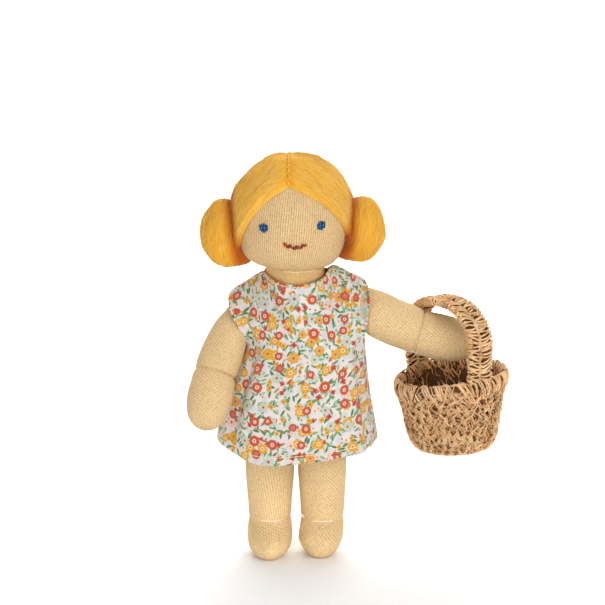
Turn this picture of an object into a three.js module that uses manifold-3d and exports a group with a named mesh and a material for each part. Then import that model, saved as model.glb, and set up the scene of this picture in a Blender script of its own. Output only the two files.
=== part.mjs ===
// A small stuffed cloth doll with felted-wool hair, a sleeveless cotton dress and a woven basket on its arm.
// Millimetres, +Z up, the doll faces -Y and stands on its soles at Z = 0. The doll's own right is -X.
// "Crease" is the sewn line that lets a limb fold: a thread through the limb is its pin.
import * as THREE from "three";
import { mergeVertices } from "three/addons/utils/BufferGeometryUtils.js";
import Module from "manifold-3d";

const wasm = await Module();
wasm.setup();

// ---------------------------------------------------------------- driving dimensions
const MIDLINE_X = -25.14; // the doll's midline, with the base centre of the whole box at the origin
const MIDLINE_Y = 1.602;
const SKIN = 1.0; // knit skin, with its seam allowance
const GAP = 0.3; // between a skin and its filling
const THREAD_R = 0.45;

const HEAD_X = -1.0;
const HEAD_Z = 172.4;
const HEAD_R = 26.1;
const HAIR_IN = 0.7; // the wool's inner and outer faces, off the head
const HAIR_OUT = 3.2;

const SHOULDER_R = [-29.0, 0, 119.5]; // the doll's right shoulder, arm hanging
const SHOULDER_L = [31.0, 0, 122.4]; // the doll's left shoulder, arm held out
const WRIST_R = [-39.4, -11.4, 92.7];
const WRIST_L = [60.2, -2.5, 111.5];
const TIP_R = [-44.4, -25.6, 68.5];
const TIP_L = [88.2, -5.2, 106.6];
const ARM_SWING_R = [-0.9, 0, -0.436]; // normal of the slanting armhole

const HIP = [13.0, 0, 64.0]; // left hip; the right one mirrors it
const ANKLE_Z = 17.5;

const TORSO_X = 0.8;

const DRESS_THICK = 0.9;
const HEM_Z = 54.0;

const BASKET_AT = [76.0, -3.06, 54.5]; // centre of the basket's base
const BASKET_ROLL = -2.5; // degrees about Y: the outer side hangs higher
const BASKET_PITCH = 2.0; // degrees about X: the mouth leans forward
const HANDLE_AZIMUTH = -60; // direction of the handle's front foot from the basket's centre
const HANDLE_W = 13.2;
const HANDLE_T = 4.2;
const MOUTH_LIFT = 2.6; // how far the basket's mouth is pulled up all round
const MOUTH_TILT = 2.2; // how much further on the outer side, and less on the inner one
const MOUTH_PULL = 1.3; // how much further at the front and back

// ---------------------------------------------------------------- materials
const mat = (color, roughness) =>
  new THREE.MeshStandardMaterial({ color, roughness, metalness: 0 });
const KNIT = mat(0xe6c48c, 0.9);
const WOOL_FILL = mat(0xefe6d2, 1.0);
const HAIR = mat(0xe9ab3c, 0.95);
const HAIR_THREAD = mat(0xd9952a, 0.7);
const EYE_BLUE = mat(0x1f5c9e, 0.6);
const MOUTH_RUST = mat(0x9a3c1e, 0.6);
const SEAM_THREAD = mat(0xf2e2c4, 0.7);
const COTTON = mat(0xeee6e8, 0.85);
const DRESS_THREAD = mat(0xefe7b4, 0.7);
const TAPE = mat(0xf0ece8, 0.9);
const JUTE = mat(0xb8895a, 0.95);

// ---------------------------------------------------------------- geometry helpers
const LIMB_SIDES = 12;

// Only positions, shared vertices merged, no flat triangles, faces turned outwards.
function clean(geometry) {
  const g = geometry.clone();
  for (const name of Object.keys(g.attributes))
    if (name !== "position") g.deleteAttribute(name);
  const m = mergeVertices(g, 1e-3);
  const p = m.attributes.position;
  const src = m.index.array;
  const tri = [];
  let volume = 0;
  const a = new THREE.Vector3(),
    b = new THREE.Vector3(),
    c = new THREE.Vector3();
  for (let i = 0; i < src.length; i += 3) {
    const [i0, i1, i2] = [src[i], src[i + 1], src[i + 2]];
    if (i0 === i1 || i1 === i2 || i2 === i0) continue;
    tri.push(i0, i1, i2);
    a.fromBufferAttribute(p, i0);
    b.fromBufferAttribute(p, i1);
    c.fromBufferAttribute(p, i2);
    volume += a.dot(b.cross(c));
  }
  if (volume < 0)
    for (let i = 0; i < tri.length; i += 3)
      [tri[i + 1], tri[i + 2]] = [tri[i + 2], tri[i + 1]];
  const out = new THREE.BufferGeometry();
  out.setAttribute("position", p);
  out.setIndex(tri);
  return out;
}

function solid(geometry) {
  const g = clean(geometry);
  return new wasm.Manifold(
    new wasm.Mesh({
      numProp: 3,
      vertProperties: new Float32Array(g.attributes.position.array),
      triVerts: new Uint32Array(g.index.array),
    }),
  );
}

function geometryOf(manifold) {
  const m = manifold.getMesh();
  const v = new Float32Array(m.numVert * 3);
  for (let i = 0; i < m.numVert; i++)
    v.set(m.vertProperties.subarray(i * m.numProp, i * m.numProp + 3), i * 3);
  const g = new THREE.BufferGeometry();
  g.setAttribute("position", new THREE.BufferAttribute(v, 3));
  g.setIndex(new THREE.BufferAttribute(new Uint32Array(m.triVerts), 1));
  return g;
}

// Revolved about local Y: profile is a list of [distance along, radius].
function turned(profile, sides = LIMB_SIDES) {
  return clean(
    new THREE.LatheGeometry(
      profile.map(([t, r]) => new THREE.Vector2(r, t)),
      sides,
    ),
  );
}

// The same, standing on Z.
function turnedZ(profile, sides) {
  return turned(profile, sides).rotateX(Math.PI / 2);
}

// A profile moved inwards by d, square to itself.
function inset(profile, d) {
  return profile.map(([t, r], i) => {
    const [t0, r0] = profile[Math.max(i - 1, 0)];
    const [t1, r1] = profile[Math.min(i + 1, profile.length - 1)];
    const along = Math.hypot(t1 - t0, r1 - r0);
    const [nt, nr] = [(r1 - r0) / along, -(t1 - t0) / along];
    if (r === 0) return [i === 0 ? t + d : i === profile.length - 1 ? t - d : t, 0];
    return [t + nt * d, Math.max(r + nr * d, 0)];
  });
}

// Skin of a stuffed piece: outer profile out, inner profile back. Open where the profile doesn't meet the axis.
function skinProfile(outer) {
  const p = [...outer, ...inset(outer, SKIN).reverse()];
  if (outer[0][1] > 0) p.push(outer[0]);
  return p;
}

// Its filling, GAP inside the skin, closed to the axis at the open end.
function fillProfile(outer) {
  const p = inset(outer, SKIN + GAP);
  const first = p[0],
    last = p[p.length - 1];
  if (first[1] > 0) p.unshift([first[0], 0]);
  if (last[1] > 0) p.push([last[0], 0]);
  return p;
}

// A value read off a table of [height, value].
const ramp = (table) => (z) => {
  if (z <= table[0][0]) return table[0][1];
  for (let i = 1; i < table.length; i++)
    if (z <= table[i][0]) {
      const [z0, v0] = table[i - 1],
        [z1, v1] = table[i];
      return v0 + ((v1 - v0) * (z - z0)) / (z1 - z0);
    }
  return table[table.length - 1][1];
};

const V = (a) => new THREE.Vector3(...a);
const rad = THREE.MathUtils.degToRad;
const UP = new THREE.Vector3(0, 1, 0);

function lookRotation(from, to) {
  return new THREE.Quaternion().setFromUnitVectors(
    UP,
    V(to).sub(V(from)).normalize(),
  );
}

function mesh(name, geometry, material) {
  const m = new THREE.Mesh(geometry, material);
  m.name = name;
  return m;
}

const doll = new THREE.Group();
doll.position.set(MIDLINE_X, MIDLINE_Y, 0);

// ---------------------------------------------------------------- head
const headOuter = [
  [138.4, 13.0],
  [142.0, 12.9],
  [144.2, 12.6],
  [145.4, 16.6],
  [147.2, 20.4],
  [150.4, 23.2],
  [155.0, 25.3],
  [161.0, 26.6],
  [167.5, 27.0],
  [174.0, 26.6],
  [181.5, 24.4],
  [188.4, 20.0],
  [193.4, 14.1],
  [196.2, 7.6],
  [197.1, 0],
];
const headBall = headOuter.slice(3); // without the neck
const head = new THREE.Group();
head.position.set(HEAD_X, 0, 0);
doll.add(head);
head.add(mesh("head_skin", turnedZ(skinProfile(headOuter), 18), KNIT));
head.add(mesh("head_wool_core", turnedZ(fillProfile(headOuter), 18), WOOL_FILL));
head.add(
  mesh(
    "neck_thread",
    clean(new THREE.TorusGeometry(13.35, THREAD_R, 5, 18)).translate(0, 0, 143.7),
    SEAM_THREAD,
  ),
);

// Wool hair laid over the head, open at the face and cut at the nape.
const headGrown = (d) => {
  const p = inset(headBall, -d);
  return turnedZ([[p[0][0], 0], ...p], 24);
};
const faceOutline = new THREE.Shape(
  [
    [-2.5, 187.2],
    [8, 184.2],
    [17, 178.2],
    [23, 169],
    [25, 160],
    [25, 130],
    [-25, 130],
    [-25, 160],
    [-22.5, 168.5],
    [-17.5, 176.4],
    [-10, 183],
  ].map(([x, z]) => new THREE.Vector2(x, z)),
);
const facePrism = new THREE.ExtrudeGeometry(faceOutline, {
  depth: 38,
  bevelEnabled: false,
})
  .rotateX(Math.PI / 2)
  .translate(0, -2, 0); // from y = -2 forwards to y = -40
const napeBox = new THREE.BoxGeometry(90, 90, 40).translate(0, 0, 132);
const hairCap = solid(headGrown(HAIR_OUT))
  .subtract(solid(headGrown(HAIR_IN)))
  .subtract(solid(facePrism))
  .subtract(solid(napeBox));
head.add(mesh("hair_cap", geometryOf(hairCap), HAIR));

const bun = ([x, y, z], size, roll) =>
  geometryOf(
    solid(
      new THREE.SphereGeometry(1, 16, 12)
        .rotateX(Math.PI / 2)
        .scale(...size)
        .rotateY(rad(roll))
        .translate(x - HEAD_X, y, z),
    ).subtract(solid(headGrown(HAIR_OUT + 0.5))),
  );
head.add(mesh("right_hair_bun", bun([-35.2, 0.6, 160.2], [11.2, 12.5, 16.9], 3), HAIR));
head.add(mesh("left_hair_bun", bun([32.9, 0.6, 162.3], [10.3, 12.2, 15.7], -6), HAIR));

// Row of back stitches that holds the wool down along the parting.
const partingArc = [];
for (let i = 0; i <= 10; i++) {
  const a = rad(-58 + i * 12.2); // from the hairline over the crown
  const r = HEAD_R + HAIR_OUT + 1.2;
  partingArc.push(
    new THREE.Vector3(-2.2, r * Math.sin(a), HEAD_Z - 1 + r * Math.cos(a)),
  );
}
const roundSection = (r, sides = 8) => {
  const s = new THREE.Shape();
  for (let i = 0; i < sides; i++) {
    const a = (2 * Math.PI * i) / sides;
    if (i) s.lineTo(r * Math.cos(a), r * Math.sin(a));
    else s.moveTo(r * Math.cos(a), r * Math.sin(a));
  }
  s.closePath();
  return s;
};
const tube = (points, r, steps, sides = 8) =>
  clean(
    new THREE.ExtrudeGeometry(roundSection(r, sides), {
      steps,
      extrudePath: new THREE.CatmullRomCurve3(points),
    }),
  );
head.add(mesh("parting_stitches", tube(partingArc, 0.55, 12, 6), HAIR_THREAD));

// Embroidered eyes and mouth, on the face.
const onFace = (dx, dz, lift) => {
  const z = HEAD_Z + dz;
  const r = ramp(headOuter)(z);
  const slope = (ramp(headOuter)(z + 1) - ramp(headOuter)(z - 1)) / 2;
  const y = -Math.sqrt(r * r - dx * dx);
  const n = new THREE.Vector3(dx / r, y / r, -slope).normalize();
  return { at: new THREE.Vector3(dx, y, z).addScaledVector(n, lift), n };
};
for (const [name, dx, dz] of [
  ["right_eye", -14.6, -6.4],
  ["left_eye", 13.2, -5.2],
]) {
  const { at, n } = onFace(dx, dz, 1.0);
  const eye = mesh(
    name,
    clean(new THREE.SphereGeometry(1, 10, 6).scale(2.2, 0.5, 2.2)),
    EYE_BLUE,
  );
  eye.position.copy(at);
  eye.quaternion.setFromUnitVectors(new THREE.Vector3(0, -1, 0), n);
  head.add(eye);
}
head.add(
  mesh(
    "mouth_stitch",
    tube(
      [-5.4, -3.0, 0, 3.2, 5.8].map((dx) =>
        onFace(dx, -15.2 + (1.3 * dx * dx) / 30, 1.0).at,
      ),
      0.5,
      12,
    ),
    MOUTH_RUST,
  ),
);

// ---------------------------------------------------------------- body
// Upright oval pieces: a radius profile in X, then a depth ratio at each height.
function oval(geometry, depth, forward = () => 0, sideways = () => 0) {
  const p = geometry.attributes.position;
  for (let i = 0; i < p.count; i++) {
    const z = p.getZ(i);
    p.setX(i, p.getX(i) + sideways(z));
    p.setY(i, p.getY(i) * depth(z) + forward(z));
  }
  return geometry;
}
const torsoOuter = [
  [73.8, 0],
  [73.8, 14.0],
  [75.5, 18.2],
  [80.0, 21.2],
  [88.0, 22.4],
  [98.0, 22.2],
  [108.0, 21.0],
  [117.0, 20.4],
  [124.0, 20.0],
  [130.0, 17.6],
  [135.0, 13.8],
  [137.6, 10.5],
];
const torsoDepth = ramp([
  [73, 0.78],
  [95, 0.78],
  [124, 0.72],
  [138, 0.95],
]);
const torsoSkinGeometry = oval(
  turnedZ(
    [
      ...torsoOuter,
      [136.4, 9.6],
      [134.0, 12.8],
      [129.2, 16.6],
      [123.6, 19.0],
      [117.0, 19.4],
      [108.0, 20.0],
      [98.0, 21.2],
      [88.0, 21.4],
      [80.6, 20.2],
      [76.4, 17.4],
      [74.8, 13.6],
      [74.8, 0],
    ],
    16,
  ),
  torsoDepth,
);
const torsoFillGeometry = oval(
  turnedZ(
    [
      [75.2, 0],
      [75.2, 13.2],
      [76.8, 17.0],
      [81.0, 19.8],
      [88.0, 21.0],
      [98.0, 20.8],
      [108.0, 19.6],
      [117.0, 19.0],
      [123.4, 18.6],
      [128.8, 16.2],
      [133.6, 12.4],
      [135.8, 9.0],
      [135.8, 0],
    ],
    16,
  ),
  torsoDepth,
);
const torso = new THREE.Group();
torso.position.set(TORSO_X, 0, 0);
doll.add(torso);
torso.add(mesh("torso_skin", torsoSkinGeometry, KNIT));
torso.add(mesh("torso_wool_filling", torsoFillGeometry, WOOL_FILL));

// Gathered rings of thread that join each limb's top to the body.
const seamRing = (name, x, z, turnY) => {
  const ring = mesh(
    name,
    clean(new THREE.TorusGeometry(4.4, 0.7, 5, 12)).rotateY(turnY),
    SEAM_THREAD,
  );
  ring.position.set(x, 0, z);
  doll.add(ring);
};
seamRing("right_shoulder_seam", -21.25, 119.5, Math.PI / 2);
seamRing("left_shoulder_seam", 22.7, 122.4, Math.PI / 2);
for (const [side, x] of [
  ["right", -HIP[0]],
  ["left", HIP[0]],
]) {
  const ring = mesh(
    side + "_hip_seam",
    clean(new THREE.TorusGeometry(5.3, 0.5, 5, 12)),
    SEAM_THREAD,
  );
  ring.position.set(x, 0, 72.9);
  doll.add(ring);
}

// ---------------------------------------------------------------- arms
const armOuter = [
  [-7.5, 0],
  [-6.3, 4.0],
  [-3.4, 6.7],
  [0, 7.5],
  [6.0, 7.9],
  [11.0, 9.0],
  [17.0, 10.1],
  [22.5, 10.3],
  [26.2, 9.8],
  [27.7, 8.6],
  [28.6, 6.0],
  [29.2, 3.6],
];
const handOuter = [
  [1.8, 3.6],
  [2.4, 6.0],
  [3.3, 8.6],
  [5.2, 10.0],
  [9.5, 10.8],
  [16.0, 10.6],
  [21.5, 9.2],
  [25.5, 6.6],
  [27.8, 3.3],
  [28.5, 0],
];
function arm(side, shoulder, wrist, tip, creaseAxis) {
  const upper = new THREE.Group();
  upper.position.set(...shoulder);
  upper.quaternion.copy(lookRotation(shoulder, wrist));
  doll.add(upper);
  upper.add(mesh(side + "_arm_skin", turned(skinProfile(armOuter)), KNIT));
  upper.add(
    mesh(side + "_arm_filling", turned(fillProfile(armOuter)), WOOL_FILL),
  );
  const lower = new THREE.Group();
  lower.position.set(...wrist);
  lower.quaternion.copy(lookRotation(wrist, tip));
  doll.add(lower);
  lower.add(mesh(side + "_hand_skin", turned(skinProfile(handOuter)), KNIT));
  lower.add(
    mesh(side + "_hand_filling", turned(fillProfile(handOuter)), WOOL_FILL),
  );
  const thread = mesh(
    side + "_wrist_thread",
    clean(new THREE.CylinderGeometry(THREAD_R, THREAD_R, 14.5, 8)),
    SEAM_THREAD,
  );
  thread.position.set(...wrist);
  thread.quaternion.setFromUnitVectors(UP, V(creaseAxis).normalize());
  doll.add(thread);
}
// Each crease thread lies across its limb, along the fold.
const across = (a, b, c, ref) => {
  const d = V(c).sub(V(a)).normalize();
  const r = V(ref);
  return r.sub(d.multiplyScalar(r.dot(d))).normalize().toArray();
};
const WRIST_AXIS_R = across(SHOULDER_R, WRIST_R, TIP_R, [-1, 0, 0]);
const WRIST_AXIS_L = across(SHOULDER_L, WRIST_L, TIP_L, [0, 0, -1]);
arm("right", SHOULDER_R, WRIST_R, TIP_R, WRIST_AXIS_R);
arm("left", SHOULDER_L, WRIST_L, TIP_L, WRIST_AXIS_L);

// ---------------------------------------------------------------- legs
const legOuter = [
  [-9.2, 0],
  [-7.7, 5.0],
  [-4.3, 8.1],
  [0, 9.2],
  [6.0, 10.6],
  [13.0, 11.8],
  [22.0, 11.9],
  [33.0, 11.2],
  [41.0, 10.4],
  [44.0, 9.0],
  [45.3, 6.4],
  [45.7, 4.0],
];
// Foot by height: half width, half length, and how far its middle lies forward.
const footLevels = [
  [16.7, 4.0, 4.0, 0],
  [16.3, 6.6, 6.6, 0],
  [15.2, 8.8, 9.0, -0.4],
  [12.2, 10.4, 12.2, -2.8],
  [8.0, 11.0, 14.0, -4.6],
  [4.0, 10.6, 14.0, -4.9],
  [1.3, 9.3, 12.7, -4.7],
  [0, 7.8, 11.4, -4.5],
];
const footShape = (profile, sides) => {
  const up = [...footLevels].reverse();
  const ratio = ramp(up.map(([z, a, b]) => [z, b / a]));
  const shift = ramp(up.map(([z, , , y]) => [z, y]));
  return oval(turnedZ(profile, sides), ratio, shift);
};
const footOuter = [[0, 0], ...[...footLevels].reverse().map(([z, a]) => [z, a])];
const footInner = [
  [15.7, 4.0],
  [15.3, 6.0],
  [14.2, 7.8],
  [11.6, 9.4],
  [8.0, 10.0],
  [4.2, 9.6],
  [2.0, 8.6],
  [1.0, 7.4],
  [1.0, 0],
];
const footFill = [
  [1.3, 0],
  [1.3, 7.0],
  [2.3, 8.2],
  [4.4, 9.2],
  [8.0, 9.6],
  [11.3, 9.0],
  [13.8, 7.5],
  [14.9, 5.6],
  [15.3, 3.6],
  [15.3, 0],
];
function leg(side, x) {
  const upper = new THREE.Group();
  upper.position.set(x, HIP[1], HIP[2]);
  upper.rotation.x = -Math.PI / 2; // the limb's length runs down
  doll.add(upper);
  upper.add(mesh(side + "_leg_skin", turned(skinProfile(legOuter)), KNIT));
  upper.add(
    mesh(side + "_leg_filling", turned(fillProfile(legOuter)), WOOL_FILL),
  );
  const foot = new THREE.Group();
  foot.position.set(x, 0, 0);
  doll.add(foot);
  foot.add(
    mesh(side + "_foot_skin", footShape([...footOuter, ...footInner], 14), KNIT),
  );
  foot.add(mesh(side + "_foot_filling", footShape(footFill, 14), WOOL_FILL));
  const thread = mesh(
    side + "_ankle_thread",
    clean(new THREE.CylinderGeometry(THREAD_R, THREAD_R, 15.5, 8)).rotateZ(
      Math.PI / 2,
    ),
    SEAM_THREAD,
  );
  thread.position.set(x, 0, ANKLE_Z);
  doll.add(thread);
}
leg("right", -HIP[0]);
leg("left", HIP[0]);

// ---------------------------------------------------------------- dress
// Dress by height: half width, how far its middle lies to the doll's left, half depth.
const dressLevels = [
  [HEM_Z, 40.6, 0.5, 29.8],
  [58.0, 39.9, 0.5, 29.2],
  [66.0, 38.4, 0.8, 28.2],
  [75.0, 36.4, 1.2, 26.6],
  [90.0, 32.6, 2.8, 24.0],
  [105.0, 28.8, 5.2, 21.4],
  [115.0, 28.5, 5.3, 19.8],
  [125.0, 30.6, 2.2, 18.2],
  [132.0, 29.0, 1.2, 16.4],
  [136.8, 23.6, 0.4, 15.4],
  [139.8, 19.2, -0.4, 15.6],
  [141.2, 16.6, -0.6, 15.9],
];
const dressOuter = dressLevels.map(([z, a]) => [z, a]);
const dressDepth = ramp(dressLevels.map(([z, a, , b]) => [z, b / a]));
const dressMiddle = ramp(dressLevels.map(([z, , x]) => [z, x]));
function dressLayer(outside, inside, sides = 24) {
  const out = outside ? inset(dressOuter, outside) : dressOuter;
  const profile = [...out, ...inset(dressOuter, inside).reverse()];
  profile.push(profile[0]);
  return solid(oval(turnedZ(profile, sides), dressDepth, undefined, dressMiddle));
}
const half = (x0, x1, y0, y1, z0, z1) =>
  solid(
    new THREE.BoxGeometry(x1 - x0, y1 - y0, z1 - z0).translate(
      (x0 + x1) / 2,
      (y0 + y1) / 2,
      (z0 + z1) / 2,
    ),
  );
// Armholes, square to each shoulder's swing, and a neckline that dips in front.
const armhole = (at, axis, r, inwards, outwards) =>
  solid(
    new THREE.CylinderGeometry(r, r, inwards + outwards, 24)
      .translate(0, (outwards - inwards) / 2, 0)
      .applyQuaternion(
        new THREE.Quaternion().setFromUnitVectors(UP, V(axis).normalize()),
      )
      .translate(...at),
  );
const neckDip = solid(
  new THREE.SphereGeometry(13.5, 18, 12).translate(HEAD_X + 1, -12, 149),
);
const rightHole = armhole(SHOULDER_R, ARM_SWING_R, 11.8, 9, 24);
const leftHole = armhole(SHOULDER_L, [1, 0, 0], 11.8, 5, 24);
const dressAll = dressLayer(0, DRESS_THICK)
  .subtract(rightHole)
  .subtract(leftHole)
  .subtract(neckDip);
const dressFront = dressAll.intersect(half(-60, 60, -60, -0.2, 40, 160));
const dressBackR = dressAll.intersect(half(-60, -0.2, 0.2, 60, 40, 160));
const dressBackL = dressAll.intersect(half(0.2, 60, 0.2, 60, 40, 160));
const dress = new THREE.Group();
doll.add(dress);
dress.add(mesh("dress_front", geometryOf(dressFront), COTTON));
dress.add(mesh("dress_back_right", geometryOf(dressBackR), COTTON));
dress.add(mesh("dress_back_left", geometryOf(dressBackL), COTTON));
// Hook-and-loop tape behind the back opening, one strip on each edge.
const tapeArea = half(-4.2, 4.2, 2, 60, 98, 128);
dress.add(
  mesh(
    "closure_loop_tape",
    geometryOf(dressLayer(1.25, 2.05).intersect(tapeArea)),
    TAPE,
  ),
);
dress.add(
  mesh(
    "closure_hook_tape",
    geometryOf(dressLayer(2.4, 3.2).intersect(tapeArea)),
    TAPE,
  ),
);
// Rows of topstitching that stand just proud of the cloth.
function stitchRow(z, lift, sides) {
  const r0 = ramp(dressOuter)(z) + lift;
  return oval(
    turnedZ(
      [
        [z - 0.25, r0],
        [z - 0.25, r0 + 0.5],
        [z + 0.25, r0 + 0.5],
        [z + 0.25, r0],
        [z - 0.25, r0],
      ],
      sides,
    ),
    () => dressDepth(z),
    undefined,
    () => dressMiddle(z),
  );
}
dress.add(mesh("hem_stitching", stitchRow(58.2, 0.6, 24), DRESS_THREAD));

// ---------------------------------------------------------------- basket
const basket = new THREE.Group();
basket.position.set(...BASKET_AT);
basket.rotation.set(rad(BASKET_PITCH), rad(BASKET_ROLL), 0);
doll.add(basket);
// The mouth is pulled up by the handle, more on the outer side; the base stays level.
const pulledUp = (geometry) => {
  const p = geometry.attributes.position;
  const ease = THREE.MathUtils.smoothstep;
  for (let i = 0; i < p.count; i++) {
    const turn = Math.atan2(p.getY(i), p.getX(i));
    const z = p.getZ(i);
    const lift =
      MOUTH_LIFT +
      MOUTH_TILT * Math.cos(turn) +
      MOUTH_PULL * Math.sin(turn) ** 2;
    p.setZ(i, z + lift * ease(z, 4, 30) * (1 - ease(z, 40, 72)));
  }
  geometry.computeVertexNormals();
  return geometry;
};
const WALL = [
  [0, 18.6],
  [0, 20.6],
  [2.2, 21.4],
  [9, 23.0],
  [18, 25.2],
  [26, 27.2],
  [30.6, 28.0],
  [30.6, 25.2],
  [26, 24.4],
  [18, 22.4],
  [9, 20.2],
  [3, 18.8],
  [0, 18.6],
];
basket.add(mesh("basket_wall", pulledUp(turnedZ(WALL, 22)), JUTE));
basket.add(
  mesh(
    "basket_base",
    turnedZ(
      [
        [0, 0],
        [0, 18.2],
        [2.6, 18.2],
        [2.6, 0],
      ],
      22,
    ),
    JUTE,
  ),
);
basket.add(
  mesh(
    "basket_rim",
    pulledUp(turnedZ(
      [
        [30.9, 25.4],
        [30.9, 27.9],
        [32.0, 28.6],
        [33.4, 28.4],
        [34.2, 27.2],
        [34.2, 25.8],
        [33.2, 24.8],
        [31.8, 24.7],
        [30.9, 25.4],
      ],
      22,
    )),
    JUTE,
  ),
);
const strap = new THREE.Shape();
const [hw, ht, hr] = [HANDLE_W / 2, HANDLE_T / 2, 1.5];
strap.moveTo(-hw + hr, -ht);
strap.lineTo(hw - hr, -ht);
strap.lineTo(hw, -ht + hr);
strap.lineTo(hw, ht - hr);
strap.lineTo(hw - hr, ht);
strap.lineTo(-hw + hr, ht);
strap.lineTo(-hw, ht - hr);
strap.lineTo(-hw, -ht + hr);
strap.closePath();
const arch = [
  [26.2, 34.7],
  [27.1, 42],
  [27.8, 50],
  [27.0, 59.2],
  [22.8, 67.0],
  [13.0, 72.2],
  [0, 73.4],
  [-11.8, 71.7],
  [-21.0, 66.4],
  [-25.6, 58.6],
  [-27.1, 50],
  [-26.9, 42],
  [-26.2, 34.7],
].map(([x, z]) => new THREE.Vector3(x, 0, z));
const handleRaw = clean(
  new THREE.ExtrudeGeometry(strap, {
    steps: 22,
    extrudePath: new THREE.CatmullRomCurve3(arch),
  }),
);
handleRaw.rotateZ(rad(HANDLE_AZIMUTH));
basket.add(mesh("basket_handle", pulledUp(handleRaw), JUTE));

export default doll;
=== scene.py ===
import math
import random

import bmesh
import bpy
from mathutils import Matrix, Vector, noise


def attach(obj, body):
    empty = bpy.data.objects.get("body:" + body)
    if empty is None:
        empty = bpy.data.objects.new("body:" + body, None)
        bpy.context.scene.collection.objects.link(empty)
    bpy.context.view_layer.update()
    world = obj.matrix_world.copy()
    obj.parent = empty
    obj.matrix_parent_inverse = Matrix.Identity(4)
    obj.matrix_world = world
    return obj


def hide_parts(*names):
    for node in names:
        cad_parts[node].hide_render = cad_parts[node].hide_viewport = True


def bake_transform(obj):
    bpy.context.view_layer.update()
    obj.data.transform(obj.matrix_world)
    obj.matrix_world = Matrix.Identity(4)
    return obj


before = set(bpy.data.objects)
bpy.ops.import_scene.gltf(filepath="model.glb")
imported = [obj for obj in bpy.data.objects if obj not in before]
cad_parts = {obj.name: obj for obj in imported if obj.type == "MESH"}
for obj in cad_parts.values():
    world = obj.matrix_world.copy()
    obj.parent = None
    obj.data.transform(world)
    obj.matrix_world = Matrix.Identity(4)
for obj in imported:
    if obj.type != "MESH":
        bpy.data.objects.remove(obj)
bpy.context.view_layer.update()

# ------------------------------------------------------------------ the frame
# Shapes are worked out in millimetres about the doll's midline, with the soles at Z = 0,
# the doll facing -Y and its own left at +X. place() takes them to the shared frame.
OX, OY = -25.14, 1.602


def place(p):
    return Vector(((p[0] + OX) / 1000, (p[1] + OY) / 1000, p[2] / 1000))


HEAD_C = Vector((-2.0, 0.0, 170.0))
# the camera: where it stands, what it aims at, and how wide the picture is there
AIM = Vector((3.2, 0, 125.7))
ELEVATION, DISTANCE, PICTURE = math.radians(11), 900.0, 295.2
EYE = AIM + Vector((0, -math.cos(ELEVATION), math.sin(ELEVATION))) * DISTANCE
SHOULDER = {"right": Vector((-29.0, 0, 119.5)), "left": Vector((31.0, 0, 122.4))}
WRIST = {"right": Vector((-39.4, -11.4, 92.7)), "left": Vector((60.2, -2.5, 111.5))}
TIP = {"right": Vector((-44.4, -25.6, 68.5)), "left": Vector((88.2, -5.2, 106.6))}
HIP_X, HIP_Z, ANKLE_Z = 13.0, 64.0, 17.5
SIDE = {"right": -1, "left": 1}


# ------------------------------------------------------------------ small maths
def clamp(v, lo=0.0, hi=1.0):
    return max(lo, min(hi, v))


def smooth(e0, e1, v):
    t = clamp((v - e0) / (e1 - e0))
    return t * t * (3 - 2 * t)


def lerp(a, b, t):
    return a + (b - a) * t


def spline(xs, ys):
    """Smooth curve through (x, y); y may be a number or a Vector. Flat past the ends."""
    n = len(xs)
    m = []
    for i in range(n):
        if i == 0:
            m.append((ys[1] - ys[0]) * (1 / (xs[1] - xs[0])))
        elif i == n - 1:
            m.append((ys[-1] - ys[-2]) * (1 / (xs[-1] - xs[-2])))
        else:
            h0, h1 = xs[i] - xs[i - 1], xs[i + 1] - xs[i]
            d0, d1 = (ys[i] - ys[i - 1]) * (1 / h0), (ys[i + 1] - ys[i]) * (1 / h1)
            m.append((d0 * h1 + d1 * h0) * (1 / (h0 + h1)))

    def at(x):
        if x <= xs[0]:
            return ys[0] * 1
        if x >= xs[-1]:
            return ys[-1] * 1
        i = 0
        while x > xs[i + 1]:
            i += 1
        h = xs[i + 1] - xs[i]
        t = (x - xs[i]) / h
        t2, t3 = t * t, t * t * t
        return (
            ys[i] * (2 * t3 - 3 * t2 + 1)
            + m[i] * (h * (t3 - 2 * t2 + t))
            + ys[i + 1] * (-2 * t3 + 3 * t2)
            + m[i + 1] * (h * (t3 - t2))
        )

    return at


def table(rows):
    return spline([r[0] for r in rows], [r[1] for r in rows])


def nz(x, y=0.0, z=0.0):
    return noise.noise(Vector((x, y, z)))


def slerp(a, b, t):
    d = clamp(a.dot(b), -1, 1)
    w = math.acos(d)
    if w < 1e-4:
        return lerp(a, b, t).normalized()
    return (a * math.sin((1 - t) * w) + b * math.sin(t * w)) / math.sin(w)


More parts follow.
